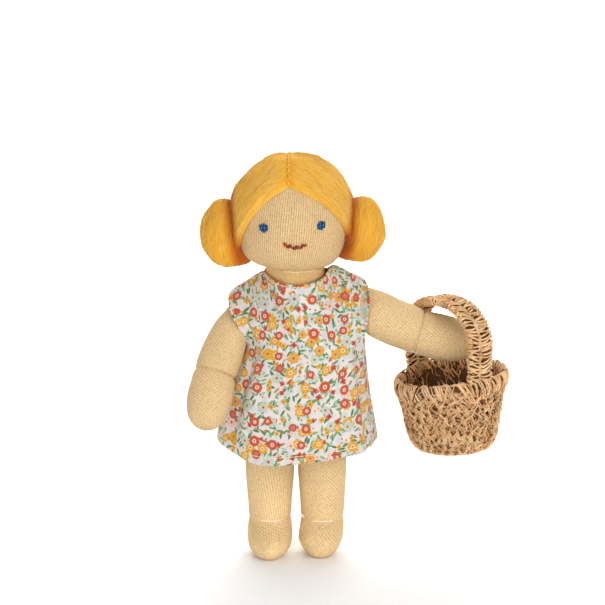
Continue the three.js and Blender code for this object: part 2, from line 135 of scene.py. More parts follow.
# ------------------------------------------------------------------ mesh building
class Mesh:
    """Collects quads with their own UVs, in the doll's millimetres."""

    def __init__(self):
        self.v, self.f, self.uv = [], [], []

    def grid(self, pts, closed=False, uvs=None, flip=False):
        base, rows, cols = len(self.v), len(pts), len(pts[0])
        for row in pts:
            self.v.extend(row)
        for r in range(rows - 1):
            for c in range(cols if closed else cols - 1):
                d = (c + 1) % cols
                q = [
                    base + r * cols + c,
                    base + r * cols + d,
                    base + (r + 1) * cols + d,
                    base + (r + 1) * cols + c,
                ]
                t = (
                    [uvs[r][c], uvs[r][c + 1], uvs[r + 1][c + 1], uvs[r + 1][c]]
                    if uvs
                    else [(0, 0)] * 4
                )
                if flip:
                    q.reverse()
                    t.reverse()
                self.f.append(q)
                self.uv.append(t)
        return base

    def fan(self, ring, centre, uv_ring=None, uv_c=(0, 0), flip=False):
        """Closes a ring of vertex numbers with triangles to a new centre point."""
        self.v.append(centre)
        c = len(self.v) - 1
        n = len(ring)
        for i in range(n):
            q = [ring[i], ring[(i + 1) % n], c]
            t = (
                [uv_ring[i], uv_ring[(i + 1) % (n + 1) if len(uv_ring) > n else (i + 1) % n], uv_c]
                if uv_ring
                else [(0, 0)] * 3
            )
            if flip:
                q.reverse()
                t.reverse()
            self.f.append(q)
            self.uv.append(t)

    def tube(self, pts, radius, sides=6, closed=False, caps=True, flat=1.0, up=None, v0=0.0):
        """Round (or flattened) tube along points; UV = (turns around, millimetres along)."""
        n = len(pts)
        rad = radius if callable(radius) else (lambda t: radius)
        tang = []
        for i in range(n):
            a = pts[(i - 1) % n] if closed or i > 0 else pts[0]
            b = pts[(i + 1) % n] if closed or i < n - 1 else pts[-1]
            d = b - a
            tang.append(d.normalized() if d.length > 1e-9 else Vector((0, 0, 1)))
        nrm = up.copy() if up else tang[0].orthogonal()
        nrm = (nrm - tang[0] * nrm.dot(tang[0])).normalized()
        frames = []
        for i in range(n):
            nrm = nrm - tang[i] * nrm.dot(tang[i])
            nrm = nrm.normalized() if nrm.length > 1e-9 else tang[i].orthogonal().normalized()
            frames.append(nrm.copy())
        twist = 0.0
        if closed:
            end = frames[-1] - tang[0] * frames[-1].dot(tang[0])
            end.normalize()
            twist = math.atan2(end.cross(frames[0]).dot(tang[0]), end.dot(frames[0]))
        rows, uvs, along = [], [], v0
        for i in range(n):
            if i:
                along += (pts[i] - pts[i - 1]).length
            r = rad(i / max(1, n - 1))
            a0 = twist * i / n
            x, y = frames[i], tang[i].cross(frames[i])
            row = []
            for k in range(sides):
                a = a0 + 2 * math.pi * k / sides
                row.append(pts[i] + x * (r * math.cos(a)) + y * (r * flat * math.sin(a)))
            rows.append(row)
            uvs.append([(k / sides, along) for k in range(sides + 1)])
        if closed:
            along += (pts[0] - pts[-1]).length
            rows.append(rows[0])
            uvs.append([(k / sides, along) for k in range(sides + 1)])
            base = len(self.v)
            for row in rows[:-1]:
                self.v.extend(row)
            for i in range(n):
                j = (i + 1) % n
                for k in range(sides):
                    d = (k + 1) % sides
                    self.f.append([base + i * sides + k, base + i * sides + d, base + j * sides + d, base + j * sides + k])
                    self.uv.append([uvs[i][k], uvs[i][k + 1], uvs[i + 1][k + 1], uvs[i + 1][k]])
            return
        if caps:
            r0, r1 = rad(0), rad(1)
            first = [pts[0] - tang[0] * (0.55 * r0) + (p - pts[0]) * 0.72 for p in rows[0]]
            last = [pts[-1] + tang[-1] * (0.55 * r1) + (p - pts[-1]) * 0.72 for p in rows[-1]]
            rows = [first] + rows + [last]
            uvs = [uvs[0]] + uvs + [uvs[-1]]
        base = self.grid(rows, True, uvs)
        if caps:
            m = len(rows)
            self.fan([base + k for k in range(sides)], pts[0] - tang[0] * (0.85 * r0), uvs[0], uvs[0][0], True)
            self.fan([base + (m - 1) * sides + k for k in range(sides)], pts[-1] + tang[-1] * (0.85 * r1), uvs[-1], uvs[-1][0])

    def build(self, name, material, weld=0.0, shade=None):
        me = bpy.data.meshes.new(name)
        me.from_pydata([place(p) for p in self.v], [], self.f)
        layer = me.uv_layers.new(name="UVMap")
        flat = []
        for t in self.uv:
            for u in t:
                flat.extend(u)
        layer.data.foreach_set("uv", flat)
        me.polygons.foreach_set("use_smooth", [True] * len(me.polygons))
        me.materials.append(material)
        if shade:
            me.attributes.new("shade", "FLOAT", "POINT").data.foreach_set("value", shade)
        if weld:
            bm = bmesh.new()
            bm.from_mesh(me)
            bmesh.ops.remove_doubles(bm, verts=bm.verts, dist=weld / 1000)
            bm.to_mesh(me)
            bm.free()
        me.update()
        ob = bpy.data.objects.new(name, me)
        bpy.context.collection.objects.link(ob)
        return ob


# ------------------------------------------------------------------ materials
def rgb(r, g, b):
    """Display colour 0-255 to a linear shader colour."""
    f = lambda c: c / 12.92 if c <= 0.04045 else ((c + 0.055) / 1.055) ** 2.4
    return (f(r / 255), f(g / 255), f(b / 255), 1.0)


class Nodes:
    """Short way to write a node tree."""

    def __init__(self, name, roughness, sheen=0.0, sheen_tint=None, specular=0.3, sheen_rough=0.5):
        self.m = bpy.data.materials.new(name)
        self.m.use_nodes = True
        self.t = self.m.node_tree
        self.t.nodes.clear()
        out = self.t.nodes.new("ShaderNodeOutputMaterial")
        self.b = self.t.nodes.new("ShaderNodeBsdfPrincipled")
        self.t.links.new(self.b.outputs[0], out.inputs[0])
        self.b.inputs["Roughness"].default_value = roughness
        self.b.inputs["Sheen Weight"].default_value = sheen
        self.b.inputs["Sheen Roughness"].default_value = sheen_rough
        if sheen_tint:
            self.b.inputs["Sheen Tint"].default_value = sheen_tint
        self.b.inputs["Specular IOR Level"].default_value = specular

    def put(self, socket, value):
        if hasattr(value, "is_output"):
            self.t.links.new(value, socket)
        else:
            socket.default_value = value

    def math(self, op, a, b=None, c=None, cl=False):
        n = self.t.nodes.new("ShaderNodeMath")
        n.operation = op
        n.use_clamp = cl
        for i, v in enumerate((a, b, c)):
            if v is not None:
                self.put(n.inputs[i], v)
        return n.outputs[0]

    def vmath(self, op, a, b=None, scale=None):
        n = self.t.nodes.new("ShaderNodeVectorMath")
        n.operation = op
        self.put(n.inputs[0], a)
        if b is not None:
            self.put(n.inputs[1], b)
        if scale is not None:
            self.put(n.inputs["Scale"], scale)
        return n.outputs["Value"] if op in ("LENGTH", "DOT_PRODUCT", "DISTANCE") else n.outputs[0]

    def uv(self):
        n = self.t.nodes.new("ShaderNodeUVMap")
        n.uv_map = "UVMap"
        return n.outputs[0]

    def attribute(self, name):
        n = self.t.nodes.new("ShaderNodeAttribute")
        n.attribute_name = name
        return n.outputs["Fac"]

    def obj(self):
        return self.t.nodes.new("ShaderNodeTexCoord").outputs["Object"]

    def xyz(self, v):
        n = self.t.nodes.new("ShaderNodeSeparateXYZ")
        self.put(n.inputs[0], v)
        return n.outputs[0], n.outputs[1], n.outputs[2]

    def vec(self, x, y, z=0.0):
        n = self.t.nodes.new("ShaderNodeCombineXYZ")
        for i, v in enumerate((x, y, z)):
            self.put(n.inputs[i], v)
        return n.outputs[0]

    def noise(self, v, scale, detail=2.0, rough=0.5, dist=0.0):
        n = self.t.nodes.new("ShaderNodeTexNoise")
        self.put(n.inputs["Vector"], v)
        n.inputs["Scale"].default_value = scale
        n.inputs["Detail"].default_value = detail
        n.inputs["Roughness"].default_value = rough
        n.inputs["Distortion"].default_value = dist
        return n.outputs["Fac"]

    def voronoi(self, v, scale, randomness=1.0):
        n = self.t.nodes.new("ShaderNodeTexVoronoi")
        n.voronoi_dimensions = "2D"
        self.put(n.inputs["Vector"], v)
        n.inputs["Scale"].default_value = scale
        n.inputs["Randomness"].default_value = randomness
        return n

    def ramp(self, fac, stops, mode="LINEAR"):
        n = self.t.nodes.new("ShaderNodeValToRGB")
        n.color_ramp.interpolation = mode
        e = n.color_ramp.elements
        while len(e) < len(stops):
            e.new(0.5)
        for i, (p, c) in enumerate(stops):
            e[i].position = p
            e[i].color = c
        self.put(n.inputs[0], fac)
        return n.outputs[0]

    def mix(self, fac, a, b, blend="MIX"):
        n = self.t.nodes.new("ShaderNodeMix")
        n.data_type = "RGBA"
        n.blend_type = blend
        self.put(n.inputs[0], fac)
        self.put(n.inputs[6], a)
        self.put(n.inputs[7], b)
        return n.outputs[2]

    def step(self, lo, hi, v):
        n = self.t.nodes.new("ShaderNodeMapRange")
        n.interpolation_type = "SMOOTHSTEP"
        self.put(n.inputs[0], v)
        n.inputs[1].default_value = lo
        n.inputs[2].default_value = hi
        return n.outputs[0]

    def bump(self, height, dist, strength=1.0, normal=None):
        n = self.t.nodes.new("ShaderNodeBump")
        n.inputs["Strength"].default_value = strength
        n.inputs["Distance"].default_value = dist
        self.put(n.inputs["Height"], height)
        if normal is not None:
            self.put(n.inputs["Normal"], normal)
        return n.outputs[0]

    def done(self, colour, normal=None, rough=None):
        self.put(self.b.inputs["Base Color"], colour)
        if normal is not None:
            self.put(self.b.inputs["Normal"], normal)
        if rough is not None:
            self.put(self.b.inputs["Roughness"], rough)
        return self.m


COURSE = 1.15  # height of a row of knit stitches, mm


def knit_uv(share, along, girth, degrees):
    """Knit columns and rows on a tube of cloth that was cut at a slant; both close up around the tube."""
    t = math.radians(degrees)
    across, up = round(girth * math.cos(t) / 1.25), round(girth * math.sin(t) / COURSE)
    return across * share + along * math.sin(t) / 1.25, along * math.cos(t) / COURSE - up * share


def knit_material(name, deep):
    """Stockinette: columns of V-shaped stitches. UV counts columns and rows."""
    n = Nodes(name, 0.92, sheen=0.12, sheen_tint=rgb(255, 232, 196), specular=0.15)
    uv = n.uv()
    wob = n.noise(uv, 0.22, 2.0)
    u, v, _ = n.xyz(uv)
    u = n.math("ADD", u, n.math("MULTIPLY", n.math("SUBTRACT", wob, 0.5), 0.7))
    fx = n.math("SUBTRACT", n.math("FRACT", u), 0.5)
    a = n.math("ABSOLUTE", fx)
    v2 = n.math("ADD", v, n.math("ADD", n.math("MULTIPLY", a, 1.1), n.math("MULTIPLY", n.math("FLOOR", u), 0.5)))
    fy = n.math("SUBTRACT", n.math("FRACT", v2), 0.5)
    hx = n.math("SUBTRACT", 1.0, n.math("POWER", n.math("MULTIPLY", a, 2.0), 2.2))
    split = n.step(0.0, 0.16, a)
    hy = n.math("SUBTRACT", 1.0, n.math("POWER", n.math("ABSOLUTE", n.math("MULTIPLY", fy, 2.0)), 1.6))
    hx = n.math("MULTIPLY", hx, n.math("ADD", n.math("MULTIPLY", split, 0.25), 0.75))
    h = n.math("MULTIPLY", n.math("ADD", n.math("MULTIPLY", hx, deep), 1.0 - deep), n.math("ADD", n.math("MULTIPLY", hy, 0.56), 0.44))
    fibre = n.noise(uv, 4.0, 4.0, 0.65)
    uneven = n.noise(uv, 0.85, 2.0, 0.6)
    h2 = n.math("ADD", h, n.math("ADD", n.math("MULTIPLY", n.math("SUBTRACT", fibre, 0.5), 0.5), n.math("MULTIPLY", n.math("SUBTRACT", uneven, 0.5), 0.6)))
    blot = n.noise(uv, 0.10, 3.0, 0.6)
    # colour follows the stitch height, so the hollows between stitches are painted darker: painted shade
    col = n.ramp(h2, [(0.18, rgb(160, 116, 68)), (0.42, rgb(202, 164, 112)), (0.66, rgb(224, 192, 142)), (1.0, rgb(239, 215, 172))])
    tone = n.ramp(blot, [(0.3, (0.94, 0.93, 0.91, 1)), (0.7, (1.0, 1.0, 1.0, 1))])
    col = n.mix(1.0, col, tone, "MULTIPLY")
    # painted light on the neck, weighted by the mesh's shade attribute: warmer all round and lighter towards its sides
    neck_painted_light = n.ramp(n.attribute("shade"), [(0.0, (1.0, 1.0, 1.0, 1)), (0.5, (1.05, 0.99, 0.80, 1)), (1.0, (1.22, 1.14, 0.97, 1))])
    col = n.mix(1.0, col, neck_painted_light, "MULTIPLY")
    return n.done(col, n.bump(h2, 0.0005, 0.7))


def wool_material(name, deep, dark, mid, light):
    """Combed wool. UV is millimetres: across the strands, along the strands."""
    n = Nodes(name, 0.78, sheen=0.3, sheen_tint=rgb(255, 226, 160), specular=0.15, sheen_rough=0.45)
    uv = n.uv()
    u, v, _ = n.xyz(uv)
    warp = n.math("MULTIPLY", n.math("SUBTRACT", n.noise(n.vec(n.math("MULTIPLY", u, 0.16), n.math("MULTIPLY", v, 0.07)), 1.0, 3.0), 0.5), 7.0)
    uw = n.math("ADD", u, warp)
    broad = n.noise(n.vec(n.math("MULTIPLY", uw, 0.26), n.math("MULTIPLY", v, 0.05)), 1.0, 2.0)
    strand = n.noise(n.vec(n.math("MULTIPLY", uw, 1.25), n.math("MULTIPLY", v, 0.13)), 1.0, 3.0, 0.6)
    cross = n.noise(n.vec(n.math("MULTIPLY", n.math("ADD", uw, n.math("MULTIPLY", v, 0.42)), 1.5), n.math("MULTIPLY", v, 0.12)), 1.0, 3.0, 0.65)
    fine = n.noise(n.vec(n.math("MULTIPLY", uw, 4.0), n.math("MULTIPLY", v, 0.5)), 1.0, 4.0, 0.75)
    s = n.math("ADD", n.math("MULTIPLY", broad, 0.24), n.math("ADD", n.math("ADD", n.math("MULTIPLY", strand, 0.20), n.math("MULTIPLY", cross, 0.20)), n.math("MULTIPLY", fine, 0.36)))
    # the colour shares the strand noises with the relief, so the wool is darker in its grooves: partly strands of
    # differing tone, partly painted shade
    col = n.ramp(s, [(0.36, deep), (0.45, dark), (0.53, mid), (0.64, light)])
    # painted shade: darker in the folds beside the buns and the head, weighted by the mesh's shade attribute
    col = n.mix(n.attribute("shade"), col, rgb(206, 142, 76), "MULTIPLY")
    h = n.math("ADD", n.math("MULTIPLY", n.math("ADD", strand, cross), 0.35), n.math("MULTIPLY", fine, 0.4))
    return n.done(col, n.bump(h, 0.0007, 0.8))


def thread_material(name, colour, dark, turns=2.0, pitch=0.9, rough=0.6, sheen=0.2):
    """Twisted thread on a tube: UV is (turns around, millimetres along)."""
    n = Nodes(name, rough, sheen=sheen, specular=0.35)
    u, v, _ = n.xyz(n.uv())
    ply = n.math("SINE", n.math("MULTIPLY", n.math("ADD", n.math("MULTIPLY", u, turns), n.math("DIVIDE", v, pitch)), 2 * math.pi))
    fuzz = n.noise(n.vec(n.math("MULTIPLY", u, 9.0), n.math("MULTIPLY", v, 3.0)), 1.0, 3.0, 0.6)
    h = n.math("ADD", n.math("MULTIPLY", ply, 0.4), n.math("ADD", n.math("MULTIPLY", fuzz, 0.5), 0.25))
    # colour follows the twist's height, so the grooves between the plies are painted darker: painted shade
    return n.done(n.ramp(h, [(0.1, dark), (0.75, colour)]), n.bump(h, 0.00012, 0.8))


def jute_material(name, gain=1.0, warm=1.0, fade=0.0):
    """Loose-spun jute yarn on a tube: UV is (turns around, millimetres along)."""
    n = Nodes(name, 0.95, sheen=0.1, sheen_tint=rgb(235, 205, 160), specular=0.12)
    uv = n.uv()
    u, v, _ = n.xyz(uv)
    tw = n.math("ADD", u, n.math("MULTIPLY", v, 0.22))
    lane = n.noise(n.vec(n.math("MULTIPLY", tw, 5.0), n.math("MULTIPLY", v, 0.12)), 1.0, 3.0, 0.6)
    hair = n.noise(n.vec(n.math("MULTIPLY", tw, 16.0), n.math("MULTIPLY", v, 0.45)), 1.0, 4.0, 0.7)
    blot = n.noise(n.obj(), 160.0, 3.0, 0.6)
    s = n.math("ADD", n.math("MULTIPLY", lane, 0.36), n.math("ADD", n.math("MULTIPLY", hair, 0.30), n.math("MULTIPLY", blot, 0.34)))

    def g(r, gg, b):
        k = min(gain, 247 / (r * warm))
        return rgb(lerp(r * k * warm, 244, fade), lerp(gg * k, 221, fade), lerp(b * k / warm, 184, fade))

    # the colour shares the lane and hair noises with the relief, so the yarn is darker in its grooves: partly fibres of
    # differing tone, partly painted shade
    col = n.ramp(s, [(0.36, g(116, 74, 42)), (0.44, g(166, 120, 78)), (0.51, g(204, 161, 114)), (0.62, g(240, 212, 170))])
    h = n.math("ADD", n.math("MULTIPLY", lane, 0.5), n.math("MULTIPLY", hair, 0.5))
    return n.done(col, n.bump(h, 0.0005, 1.0))


def print_material():
    """Plain-woven cotton with a scatter of small flowers of a made-up kind. UV is millimetres of cloth."""
    n = Nodes("dress_cotton", 0.85, sheen=0.12, specular=0.2)
    uv = n.uv()
    wob = n.t.nodes.new("ShaderNodeTexNoise")
    wob.inputs["Scale"].default_value = 0.9
    n.put(wob.inputs["Vector"], uv)
    soft = n.vmath("ADD", uv, n.vmath("SCALE", n.vmath("SUBTRACT", wob.outputs["Color"], (0.5, 0.5, 0.5)), scale=0.3))

    def scatter(offset, scale, randomness):
        """Distance, angle and random numbers of the nearest motif."""
        p = n.vmath("ADD", soft, offset)
        vo = n.voronoi(p, scale, randomness)
        d = n.vmath("SUBTRACT", p, vo.outputs["Position"])
        dx, dy, _ = n.xyz(d)
        r = n.vmath("LENGTH", n.vec(dx, dy))
        ang = n.math("ARCTAN2", dy, dx)
        cr, cg, cb = n.xyz(vo.outputs["Color"])
        return r, ang, cr, cg, cb, dx, dy

    def petals(s, count, size, depth):
        """Mask of a flower with that many petals, and its radius as a share of its size."""
        r, ang, cr, cg, cb, _, _ = s
        a = n.math("ADD", ang, n.math("MULTIPLY", cg, 6.283))
        lobe = n.math("ABSOLUTE", n.math("COSINE", n.math("MULTIPLY", a, count / 2)))
        edge = n.math("MULTIPLY", n.math("ADD", 1.0 - depth, n.math("MULTIPLY", lobe, depth)), n.math("MULTIPLY", size, n.math("ADD", 0.78, n.math("MULTIPLY", cb, 0.34))))
        q = n.math("DIVIDE", r, edge)
        return n.math("SUBTRACT", 1.0, n.step(0.90, 1.06, q)), q, lobe

    def leaf(s, length, width):
        """Mask of a slim leaf turned at random."""
        r, ang, cr, cg, cb, dx, dy = s
        t = n.math("MULTIPLY", cg, 6.283)
        c, si = n.math("COSINE", t), n.math("SINE", t)
        x = n.math("ADD", n.math("MULTIPLY", dx, c), n.math("MULTIPLY", dy, si))
        y = n.math("SUBTRACT", n.math("MULTIPLY", dy, c), n.math("MULTIPLY", dx, si))
        k = n.math("DIVIDE", x, length)
        w = n.math("MULTIPLY", n.math("SUBTRACT", 1.0, n.math("MULTIPLY", k, k)), width)
        return n.math("SUBTRACT", 1.0, n.step(-0.12, 0.12, n.math("SUBTRACT", n.math("ABSOLUTE", y), w)))

    CORAL, BRICK = rgb(206, 92, 70), rgb(178, 66, 52)
    MUSTARD, GOLD = rgb(234, 174, 66), rgb(222, 150, 44)
    MINT, PINK = rgb(198, 216, 204), rgb(240, 206, 204)
    LEAF_A, LEAF_B, LEAF_C = rgb(112, 150, 92), rgb(142, 172, 122), rgb(84, 124, 80)
    col = n.ramp(n.noise(uv, 0.09, 2.0), [(0.3, rgb(226, 216, 213)), (0.7, rgb(238, 230, 226))])
    # faint pink and grey-green blots far back
    for off, tint in (((3.3, 9.1, 0), rgb(240, 212, 206)), ((37.3, 81.1, 0), rgb(202, 219, 206)), ((57.3, 21.1, 0), rgb(210, 214, 214))):
        s = scatter(off, 0.19, 1.0)
        m, q, lobe = petals(s, 5, 1.8, 0.3)
        col = n.mix(n.math("MULTIPLY", n.math("MULTIPLY", m, n.math("LESS_THAN", s[3], 0.6)), 0.8), col, tint)
    # leaves, two scatters
    for off, sc, le, wi, stops in (
        ((0, 0, 0), 0.215, 2.1, 0.66, [(0.0, LEAF_A), (0.4, LEAF_B), (0.7, LEAF_C)]),
        ((41.3, 17.7, 0), 0.225, 1.9, 0.60, [(0.0, LEAF_B), (0.4, LEAF_C), (0.75, LEAF_A)]),
        ((91.3, 57.7, 0), 0.20, 1.7, 0.52, [(0.0, LEAF_A), (0.5, LEAF_B), (0.8, rgb(170, 192, 160))]),
    ):
        s = scatter(off, sc, 1.0)
        keep = n.math("LESS_THAN", s[4], 0.84)
        col = n.mix(n.math("MULTIPLY", leaf(s, le, wi), keep), col, n.ramp(s[2], stops, "CONSTANT"))
    # specks
    s = scatter((13.1, 71.9, 0), 0.30, 1.0)
    m = n.math("MULTIPLY", n.math("SUBTRACT", 1.0, n.step(0.42, 0.56, s[0])), n.math("LESS_THAN", s[3], 0.6))
    col = n.mix(m, col, n.ramp(s[2], [(0.0, GOLD), (0.4, CORAL), (0.65, LEAF_A), (0.85, rgb(176, 190, 214))], "CONSTANT"))
    # small blossoms
    for off, keep in (((7.7, 3.1, 0), 0.75), ((77.7, 33.1, 0), 0.55)):
        s = scatter(off, 0.165, 0.9)
        m, q, lobe = petals(s, 4, 1.55, 0.36)
        body = n.ramp(s[2], [(0.0, MUSTARD), (0.26, CORAL), (0.54, MINT), (0.72, MUSTARD), (0.88, PINK)], "CONSTANT")
        heart = n.ramp(s[2], [(0.0, rgb(196, 110, 40)), (0.26, rgb(150, 50, 40)), (0.54, BRICK), (0.72, rgb(190, 96, 44)), (0.88, GOLD)], "CONSTANT")
        m = n.math("MULTIPLY", m, n.math("LESS_THAN", s[3], keep))
        col = n.mix(m, col, n.mix(n.math("SUBTRACT", 1.0, n.step(0.26, 0.40, q)), body, heart))
    # large blossoms: shaded petals, a pale ring and a dotted heart
    for off, size, count, keep, cut in (
        ((61.2, 29.4, 0), 2.8, 6, 0.74, [(0.0, MUSTARD), (0.62, MINT), (0.90, PINK)]),
        ((23.9, 53.3, 0), 2.6, 8, 0.62, [(0.0, CORAL), (0.66, MUSTARD), (0.84, MINT)]),
    ):
        s = scatter(off, 0.116, 0.75)
        m, q, lobe = petals(s, count, size, 0.26 if count == 6 else 0.10)
        m = n.math("MULTIPLY", m, n.math("LESS_THAN", s[3], keep))
        body = n.ramp(s[2], cut, "CONSTANT")
        vein = n.math("MULTIPLY", n.step(0.35, 0.9, q), n.math("SUBTRACT", 1.0, lobe))
        body = n.mix(n.math("MULTIPLY", vein, 0.32), body, rgb(150, 62, 44))
        pale = n.ramp(s[2], [(0.0, rgb(246, 226, 190)), (0.56, rgb(214, 150, 130)), (0.82, rgb(236, 170, 60))], "CONSTANT")
        body = n.mix(n.math("SUBTRACT", 1.0, n.step(0.30, 0.42, q)), body, pale)
        body = n.mix(n.math("SUBTRACT", 1.0, n.step(0.12, 0.22, q)), body, rgb(156, 70, 48))
        col = n.mix(m, col, body)
    # cloth: a fine weave, seen mostly in its relief, its colour darker in the hollows as painted shade, and faint
    # creases
    u, v, _ = n.xyz(uv)
    wu = n.math("SINE", n.math("MULTIPLY", u, 2 * math.pi / 0.42))
    wv = n.math("SINE", n.math("MULTIPLY", v, 2 * math.pi / 0.42))
    weave = n.math("MULTIPLY", wu, wv)
    slub = n.noise(n.vec(n.math("MULTIPLY", u, 0.5), n.math("MULTIPLY", v, 3.0)), 1.0, 3.0)
    tone = n.math("ADD", 0.79, n.math("ADD", n.math("MULTIPLY", weave, 0.03), n.math("MULTIPLY", slub, 0.08)))
    col = n.mix(1.0, col, n.vec(tone, tone, tone), "MULTIPLY")
    crease = n.noise(uv, 0.11, 3.0, 0.55, 0.4)
    nb = n.bump(crease, 0.0012, 0.35)
    return n.done(col, n.bump(weave, 0.00006, 0.6, nb))


KNIT = knit_material("knit_skin", 0.46)
KNIT_FACE = knit_material("knit_face", 0.74)
HAIR = wool_material("wool_hair", rgb(210, 144, 34), rgb(225, 163, 45), rgb(236, 182, 62), rgb(247, 205, 99))
COILED = wool_material("wool_coiled", rgb(202, 130, 24), rgb(217, 149, 33), rgb(229, 167, 47), rgb(242, 193, 80))
WISP = wool_material("wool_wisps", rgb(240, 182, 72), rgb(249, 200, 94), rgb(252, 212, 116), rgb(255, 232, 164))
TUFT = wool_material("wool_deep", rgb(204, 132, 30), rgb(216, 148, 38), rgb(228, 162, 48), rgb(238, 178, 66))
GOLD_THREAD = thread_material("parting_thread", rgb(255, 192, 62), rgb(196, 116, 16), sheen=0.0)
BLUE_THREAD = thread_material("eye_thread", rgb(22, 100, 172), rgb(4, 38, 82), sheen=0.0)
# a lighter blue thread for the painted highlight on each eye
EYE_HIGHLIGHT_THREAD = thread_material("eye_painted_highlight_thread", rgb(78, 156, 210), rgb(18, 76, 134), sheen=0.0)
NAVY_THREAD = thread_material("eye_shade_thread", rgb(10, 30, 58), rgb(2, 6, 16), sheen=0.0)
RUST_THREAD = thread_material("mouth_thread", rgb(178, 76, 18), rgb(104, 36, 6), sheen=0.0)
WINE_THREAD = thread_material("mouth_shade_thread", rgb(140, 48, 10), rgb(70, 20, 3), sheen=0.0)
TAN_THREAD = thread_material("skin_thread", rgb(232, 202, 154), rgb(196, 158, 108))
CREAM_THREAD = thread_material("seam_thread", rgb(250, 240, 220), rgb(214, 190, 150))
HEM_THREAD = thread_material("dress_thread", rgb(246, 238, 190), rgb(212, 196, 130))
COTTON = print_material()
JUTE = jute_material("jute_yarn", 1.16)
# a very dark copy of the yarn: painted shadow behind the strands, in the ground inside the weave and the cores of rim
# and handle
JUTE_PAINTED_SHADOW = jute_material("jute_painted_shadow", 0.40, 1.14)
# a darker copy of the yarn: painted shade on the stitches inside the basket
JUTE_INNER_PAINTED_SHADE = jute_material("jute_inner_painted_shade", 0.84, 1.18)
# a paler copy of the yarn: partly paler fibres, partly painted highlight
JUTE_PALE_AND_HIGHLIGHT = jute_material("jute_pale_fibres_and_highlight", 1.34, 1.0, 0.30)
# a darker copy of the yarn: painted shade on the edges of strands and in the holes of the weave
JUTE_SHADE = jute_material("jute_shaded", 0.70, 1.08)


# ------------------------------------------------------------------ the head
head_r = table(
    [(136.5, 14.0), (140.0, 14.1), (142.4, 14.1), (143.5, 14.2), (144.2, 14.9), (145.0, 16.9), (146.1, 19.3), (147.6, 21.5), (150.4, 23.8),
     (155.0, 25.7), (161.0, 26.8), (167.5, 27.1), (174.0, 26.6), (181.5, 24.4), (188.4, 20.0), (193.4, 14.1), (196.2, 7.6), (197.1, 0.0)]
)
neck_front = lambda z: 2.4 * (1 - smooth(143.5, 147.5, z))  # the neck is fuller in front
head_x = lambda z: lerp(-0.3, HEAD_C.x, smooth(143, 151, z))  # the head sits a little to its right of the neck
_polar = sorted(
    (math.atan2(head_r(z), z - HEAD_C.z), math.hypot(head_r(z), z - HEAD_C.z))
    for z in [146.5 + 0.5 * i for i in range(102)]
)
_polar_at = spline([0.0] + [p[0] for p in _polar if 0.05 < p[0]], [27.1] + [p[1] for p in _polar if 0.05 < p[0]])


def on_head(d, lift=0.0):
    """Point of the head's skin in direction d from its middle, raised by lift."""
    d = d.normalized()
    return HEAD_C + d * (_polar_at(math.acos(clamp(d.z, -1, 1))) + lift)


def face_dir(px, py, lift=0.0):
    """Direction on the head of a place given in the picture, 605 wide and high."""
    fwd = (AIM - EYE).normalized()
    up = Vector((1, 0, 0)).cross(fwd)
    ray = (fwd * DISTANCE + Vector((1, 0, 0)) * ((px - 302.5) * PICTURE / 605) + up * ((302.5 - py) * PICTURE / 605)).normalized()
    inside = lambda t: (EYE + ray * t - Vector((HEAD_C.x, 0, (EYE + ray * t).z))).length < head_r(clamp((EYE + ray * t).z, 146, 197.09)) + lift
    t = DISTANCE - 80
    while t < DISTANCE + 40 and not inside(t):
        t += 0.5
    lo, hi = t - 0.5, t
    for _ in range(20):
        mid = (lo + hi) / 2
        lo, hi = (lo, mid) if inside(mid) else (mid, hi)
    return (EYE + ray * hi - HEAD_C).normalized()


